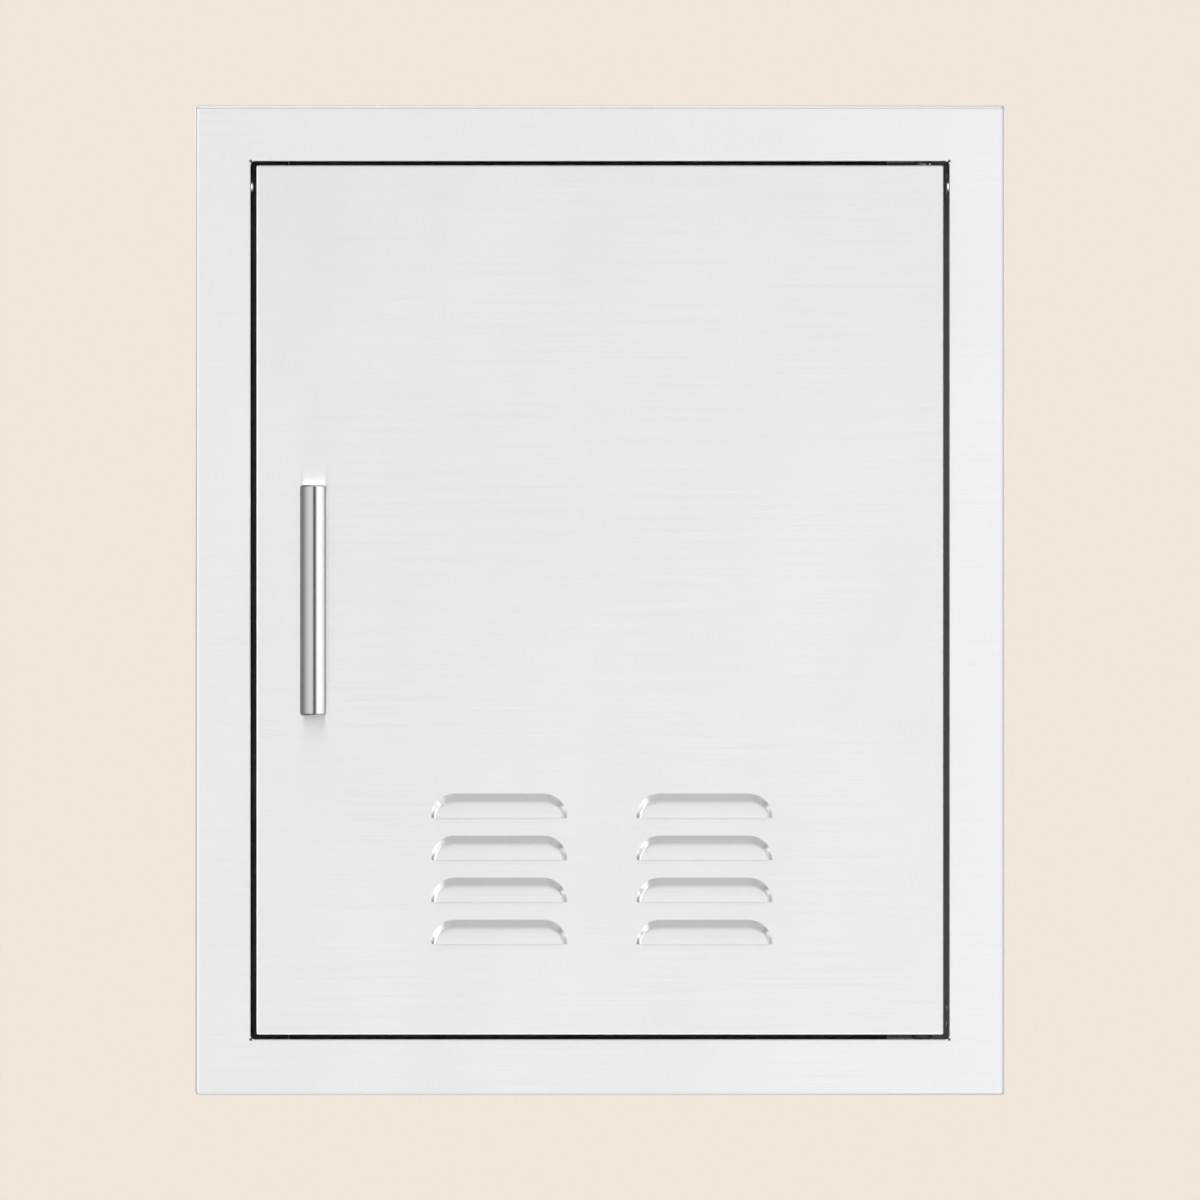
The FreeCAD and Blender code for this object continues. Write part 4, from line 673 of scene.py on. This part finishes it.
low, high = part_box("door_skin")
front_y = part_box("face_frame")[0].y
low.y = front_y
first_louvre = (LOUVRE_SHIFT - LOUVRE_PITCH_ACROSS * (LOUVRE_COLUMNS - 1) / 2, 0.0, low.z + LOUVRE_FOOT)
pan = skin_pan(low, high, first_louvre)
cut_pull_slot(pan)
blank = bpy.data.meshes.new("skin_pan")
pan.to_mesh(blank)
pan.free()
hood = louvre_hood(front_y)
skin = grow("louvred_skin", louvre_tree(), blank, {
    "Louvre": hood, "First": first_louvre, "Across": (LOUVRE_PITCH_ACROSS, 0.0, 0.0),
    "Up": (0.0, 0.0, LOUVRE_PITCH_UP), "Columns": LOUVRE_COLUMNS, "Rows": LOUVRE_ROWS,
    "Finish": face_steel})
bpy.data.objects.remove(hood)
wall = skin.modifiers.new("sheet", "SOLIDIFY")
wall.thickness = SKIN_SHEET
wall.offset = -1.0
settle(skin)
smooth_by_angle(skin)
broken = skin.modifiers.new("broken_edges", "BEVEL")
broken.width = 0.0004
broken.segments = 2
broken.limit_method = "ANGLE"
broken.angle_limit = math.radians(60)
normals = skin.modifiers.new("flat_faces_stay_flat", "WEIGHTED_NORMAL")
normals.keep_sharp = True
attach(skin, "door")
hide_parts("door_skin")
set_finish(skin, "face_steel")


# Door liner: a stainless sheet with a vent slot behind each louvre, riveted to the skin's rear lips. It has
# the same dull mill finish as the sleeve.
dress(sheet_steel, "sheet_steel", "door_liner")


# Handle: a round bar on two square posts, in satin stainless steel. A screw from inside the door holds each
# post, over a washer and a backer plate that the two share.
bar_steel = brushed_steel(
    "bar_steel", colour=(0.80, 0.80, 0.80), scratches=(700.0, 700.0, 20.0), roughness=0.24, anisotropy=0.5,
    drawn_out=UP_AND_DOWN, tone_and_reflection_cloud=0.0, depth=0.000001)
dress(bar_steel, "handle_steel", "handle_bar", "handle_post_top", "handle_post_bottom")
dress(hardware_steel, "hardware_steel", "handle_backer", "handle_screws", "handle_washers")
eased("backer_plate", "handle_backer", "door", width=0.0003)


# Studio: a beige room, a pale floor well below the hanging door, and three soft boxes. The steel is lit by
# light tents: glowing spheres that only reflections see, one for each group of pieces.
BACKDROP = (0.871, 0.791, 0.701)
ROOM_FILL = 0.75
FLOOR_SIZE = 12.0
FLOOR_LEVEL = -0.9
scene.view_settings.view_transform = "Standard"

room = bpy.data.worlds.new("room")
room.use_nodes = True
scene.world = room
tree = room.node_tree
seen = tree.nodes["Background"]
seen.inputs["Color"].default_value = (*BACKDROP, 1.0)
fill = add(tree, "Background")
fill.inputs["Color"].default_value = (1.0, 1.0, 1.0, 1.0)
fill.inputs["Strength"].default_value = ROOM_FILL
path = add(tree, "LightPath")
views = combine(tree, "MAXIMUM", path.outputs["Is Camera Ray"], path.outputs["Is Glossy Ray"])
views = combine(tree, "MAXIMUM", views, path.outputs["Is Transmission Ray"])
mix = add(tree, "MixShader")
tree.links.new(views, mix.inputs["Fac"])
tree.links.new(fill.outputs["Background"], mix.inputs[1])
tree.links.new(seen.outputs["Background"], mix.inputs[2])
tree.links.new(mix.outputs["Shader"], tree.nodes["World Output"].inputs["Surface"])


def only_on(lamp, pieces, kept_off=False):
    """The lamp lights these pieces alone, or all but these."""
    chosen = bpy.data.collections.new(lamp.name + "_pieces")
    for piece in pieces:
        chosen.objects.link(piece)
    for item in chosen.collection_objects:
        item.light_linking.link_state = "EXCLUDE" if kept_off else "INCLUDE"
    lamp.light_linking.receiver_collection = chosen


def graded(tree, angle, stops):
    """Radiance by angle: a curve through stops of degrees and radiance."""
    ramp = add(tree, "FloatCurve")
    share = add(tree, "MapRange")
    share.inputs["From Min"].default_value = math.radians(stops[0][0])
    share.inputs["From Max"].default_value = math.radians(stops[-1][0])
    tree.links.new(angle, share.inputs["Value"])
    tree.links.new(share.outputs["Result"], ramp.inputs["Value"])
    span = stops[-1][0] - stops[0][0]
    top = max(value for degrees, value in stops)
    curve = ramp.mapping.curves[0]
    for point, (degrees, value) in zip((curve.points[0], curve.points[1]), (stops[0], stops[-1])):
        point.location = ((degrees - stops[0][0]) / span, value / top)
    for degrees, value in stops[1:-1]:
        curve.points.new((degrees - stops[0][0]) / span, value / top)
    for point in curve.points:
        point.handle_type = "VECTOR"
    ramp.mapping.update()
    return combine(tree, "MULTIPLY", ramp.outputs["Value"], top)


def light_tent(name, radius, around, above, around_again=None, see_through=True):
    """A glowing sphere round the door, which only reflections see. Its radiance is that of the angle around
    it, times that of the angle above. Where around_again is given, reflections of reflections see that."""
    second_bounce = 1.5
    made = bmesh.new()
    bmesh.ops.create_uvsphere(made, u_segments=48, v_segments=24, radius=radius)
    tent = keep(made, name)
    glow = bpy.data.materials.new(name + "_glow")
    glow.use_nodes = True
    tree = glow.node_tree
    tree.nodes.remove(tree.nodes["Principled BSDF"])
    place = add(tree, "TexCoord")
    apart = add(tree, "SeparateXYZ")
    tree.links.new(place.outputs["Object"], apart.inputs["Vector"])
    forwards = combine(tree, "MULTIPLY", apart.outputs["Y"], -1.0)
    turn = combine(tree, "ARCTAN2", apart.outputs["X"], forwards)
    height = combine(tree, "DIVIDE", apart.outputs["Z"], radius)
    lift = combine(tree, "ARCSINE", height, 0.0)
    radiance = combine(tree, "MULTIPLY", graded(tree, turn, around), graded(tree, lift, above))
    if around_again:
        path = add(tree, "LightPath")
        again = combine(tree, "GREATER_THAN", path.outputs["Glossy Depth"], second_bounce)
        choice = add(tree, "Mix")
        tree.links.new(again, choice.inputs["Factor"])
        tree.links.new(radiance, choice.inputs["A"])
        tree.links.new(graded(tree, turn, around_again), choice.inputs["B"])
        radiance = choice.outputs["Result"]
    emission = add(tree, "Emission")
    tree.links.new(radiance, emission.inputs["Strength"])
    surface = emission.outputs["Emission"]
    if see_through:
        both = add(tree, "AddShader")
        tree.links.new(surface, both.inputs[0])
        tree.links.new(add(tree, "BsdfTransparent").outputs["BSDF"], both.inputs[1])
        surface = both.outputs["Shader"]
    tree.links.new(surface, tree.nodes["Material Output"].inputs["Surface"])
    glow.cycles.emission_sampling = "NONE"
    tent.data.materials.append(glow)
    tent.visible_camera = False
    tent.visible_diffuse = False
    tent.visible_shadow = False
    tent.visible_transmission = False
    tent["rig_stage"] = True
    return tent


def pieces_of(*names):
    """The objects of these names, dressed solids and pieces made here alike."""
    return [parts[name] if name in parts else bpy.data.objects[name] for name in names]


sleeves = pieces_of("sleeve_left", "sleeve_right", "sleeve_top", "sleeve_bottom")
pivots = pieces_of(
    "top_pin_bracket", "bottom_pin_bracket", "bottom_pivot_pin", "top_pivot_pin", "thrust_washer",
    "pivot_bush_top", "pivot_bush_bottom", "hinge_plate_upper", "hinge_plate_lower", "sleeve_corner_rivets")
jamb_rivets = pieces_of("jamb_rivet_pair")
liner_side = pieces_of("door_liner", "liner_lip_rivets", "catch_strike", "strike_rivets")
face_frame = pieces_of("face_frame")
bar = pieces_of("handle_bar")
posts = pieces_of("handle_post_top", "handle_post_bottom")
with_own_tent = bar + posts + sleeves + pivots + jamb_rivets + liner_side + face_frame
EVEN = [(-180, 1.0), (180, 1.0)]
EVEN_DIM = [(-180, 0.1), (180, 0.1)]
door_tent = light_tent(
    "door_tent", radius=3.0,
    around=[(-180, 0.8), (-114, 0.9), (-104, 2.1), (-56, 2.1), (-49, 1.0), (-30, 1.02), (-23, 1.16),
            (-9, 1.01), (9, 1.09), (20, 0.98), (30, 0.97), (52, 1.04), (62, 1.0), (72, 0.78), (82, 0.42),
            (90, 0.25), (96, 0.9), (110, 0.8), (180, 0.8)],
    above=[(-90, 1.6), (-60, 1.4), (-35, 1.06), (-20, 1.02), (0, 1.0), (8, 0.965), (15, 0.90), (24, 0.86),
           (38, 0.84), (46, 0.70), (56, 0.57), (90, 0.55)],
    around_again=[(-180, 0.1), (-110, 0.1), (-105, 2.2), (-76, 2.2), (-66, 0.3), (-16, 0.24), (-7, 1.3),
                  (7, 1.3), (16, 0.4), (30, 0.4), (45, 0.55), (60, 0.6), (70, 0.85), (76, 1.1), (81, 2.0),
                  (92, 2.0), (97, 1.2), (107, 1.2), (112, 0.1), (180, 0.1)],
    see_through=False)
only_on(door_tent, with_own_tent, kept_off=True)
frame_tent = light_tent(
    "frame_tent", radius=2.9,
    around=[(-180, 0.8), (-120, 0.6), (-76, 0.62), (-60, 0.9), (-45, 1.24), (-14, 1.18), (-9, 1.03),
            (0, 1.05), (9, 1.15), (20, 1.04), (30, 0.88), (50, 0.82), (70, 0.7), (90, 0.66), (130, 0.5),
            (180, 0.8)],
    above=[(-90, 0.9), (-60, 0.95), (-20, 1.0), (0, 1.02), (9, 1.09), (15, 1.0), (24, 0.6), (44, 0.5),
           (56, 1.0), (70, 1.25), (90, 1.3)],
    around_again=[(-180, 0.1), (-115, 0.1), (-105, 1.2), (-74, 1.2), (-67, 0.3), (-38, 0.25), (-30, 0.6),
                  (-12, 1.2), (105, 1.2), (115, 0.1), (180, 0.1)])
only_on(frame_tent, face_frame)
bar_tent = light_tent(
    "bar_tent", radius=2.8,
    around=[(-180, 0.3), (-120, 0.16), (-103, 0.22), (-87, 0.29), (-75, 0.42), (-62, 0.6), (-50, 0.68),
            (-38, 0.755), (-26, 0.82), (-16, 0.84), (-6, 0.72), (2.5, 0.05), (12, 0.0), (18.5, 0.3),
            (26, 0.68), (32, 1.1), (39, 1.45), (70, 1.45), (82, 1.13), (95, 0.8), (113, 0.6), (125, 0.5),
            (180, 0.5)],
    above=[(-90, 0.35), (-30, 0.4), (-15, 1.0), (15, 1.0), (30, 0.75), (90, 0.75)])
only_on(bar_tent, bar)
sleeve_tent = light_tent(
    "sleeve_tent", radius=2.7,
    around=[(-180, 0.5), (-150, 0.75), (-95, 0.6), (-70, 0.25), (-35, 0.02), (0, 0.0), (35, 0.02),
            (70, 0.25), (95, 0.6), (150, 0.75), (180, 0.5)],
    above=[(-90, 0.8), (90, 0.8)],
    around_again=EVEN_DIM)
only_on(sleeve_tent, sleeves)
post_tent = light_tent(
    "post_tent", radius=2.6, around=EVEN, above=[(-90, 0.0), (-4, 0.0), (4, 2.9), (90, 2.9)])
only_on(post_tent, posts)
rivet_tent = light_tent("rivet_tent", radius=2.5, around=[(-180, 2.2), (180, 2.2)], above=EVEN)
only_on(rivet_tent, jamb_rivets)
liner_tent = light_tent(
    "liner_tent", radius=2.4, around=[(-180, 0.95), (180, 0.95)], above=[(-90, 0.8), (0, 0.95), (90, 1.05)],
    around_again=EVEN_DIM)
only_on(liner_tent, liner_side)
pivot_tent = light_tent("pivot_tent", radius=2.3, around=[(-180, 0.2), (180, 0.2)], above=EVEN)
only_on(pivot_tent, pivots)


def soft_box(name, azimuth, elevation, width, height, radiance, glossy=True):
    """An area lamp that faces the door's middle. Azimuth 0 is in front and 90 to the right."""
    distance = 2.5
    lamp = bpy.data.lights.new(name, "AREA")
    lamp.shape = "RECTANGLE"
    lamp.size = width
    lamp.size_y = height
    lamp.energy = radiance * math.pi * width * height
    item = bpy.data.objects.new(name, lamp)
    turn = math.radians(azimuth)
    lift = math.radians(elevation)
    out = Vector((math.sin(turn) * math.cos(lift), -math.cos(turn) * math.cos(lift), math.sin(lift)))
    item.location = out * distance
    item.rotation_mode = "QUATERNION"
    item.rotation_quaternion = out.to_track_quat("Z", "Y")
    scene.collection.objects.link(item)
    item.visible_camera = False
    item.visible_glossy = glossy


soft_box("key", azimuth=-25, elevation=40, width=2.0, height=2.0, radiance=0.6, glossy=False)
soft_box("back_left", azimuth=-140, elevation=25, width=1.2, height=2.0, radiance=1.6)
soft_box("back_right", azimuth=130, elevation=10, width=0.8, height=2.0, radiance=1.2)

bpy.ops.mesh.primitive_grid_add(
    x_subdivisions=1, y_subdivisions=1, size=FLOOR_SIZE, location=(0, 0, FLOOR_LEVEL))
floor = bpy.context.object
floor.name = "floor"
floor_paint = plain_finish("floor_paint", colour=BACKDROP, roughness=0.9, waves=3.0, unevenness=0.01)
floor.data.materials.append(floor_paint)
floor.visible_glossy = False
floor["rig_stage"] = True


# Camera: a long lens straight in front of the door, a hair above the frame's middle. The picture takes in
# 677.7 mm at the door's face, so that the frame fills it as it fills the photograph.
VIEW_WIDTH = 0.6777
VIEW_HEIGHT = 0.00017
LENS = 600.0
SENSOR = 36.0
lens = bpy.data.cameras.new("camera")
lens.lens = LENS
lens.sensor_width = SENSOR
lens.clip_start = 1.0
lens.clip_end = 60.0
camera = bpy.data.objects.new("camera", lens)
camera.location = (0.0, front_y - VIEW_WIDTH * LENS / SENSOR, VIEW_HEIGHT)
camera.rotation_euler = (math.pi / 2, 0, 0)
scene.collection.objects.link(camera)
scene.camera = camera

low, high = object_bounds()
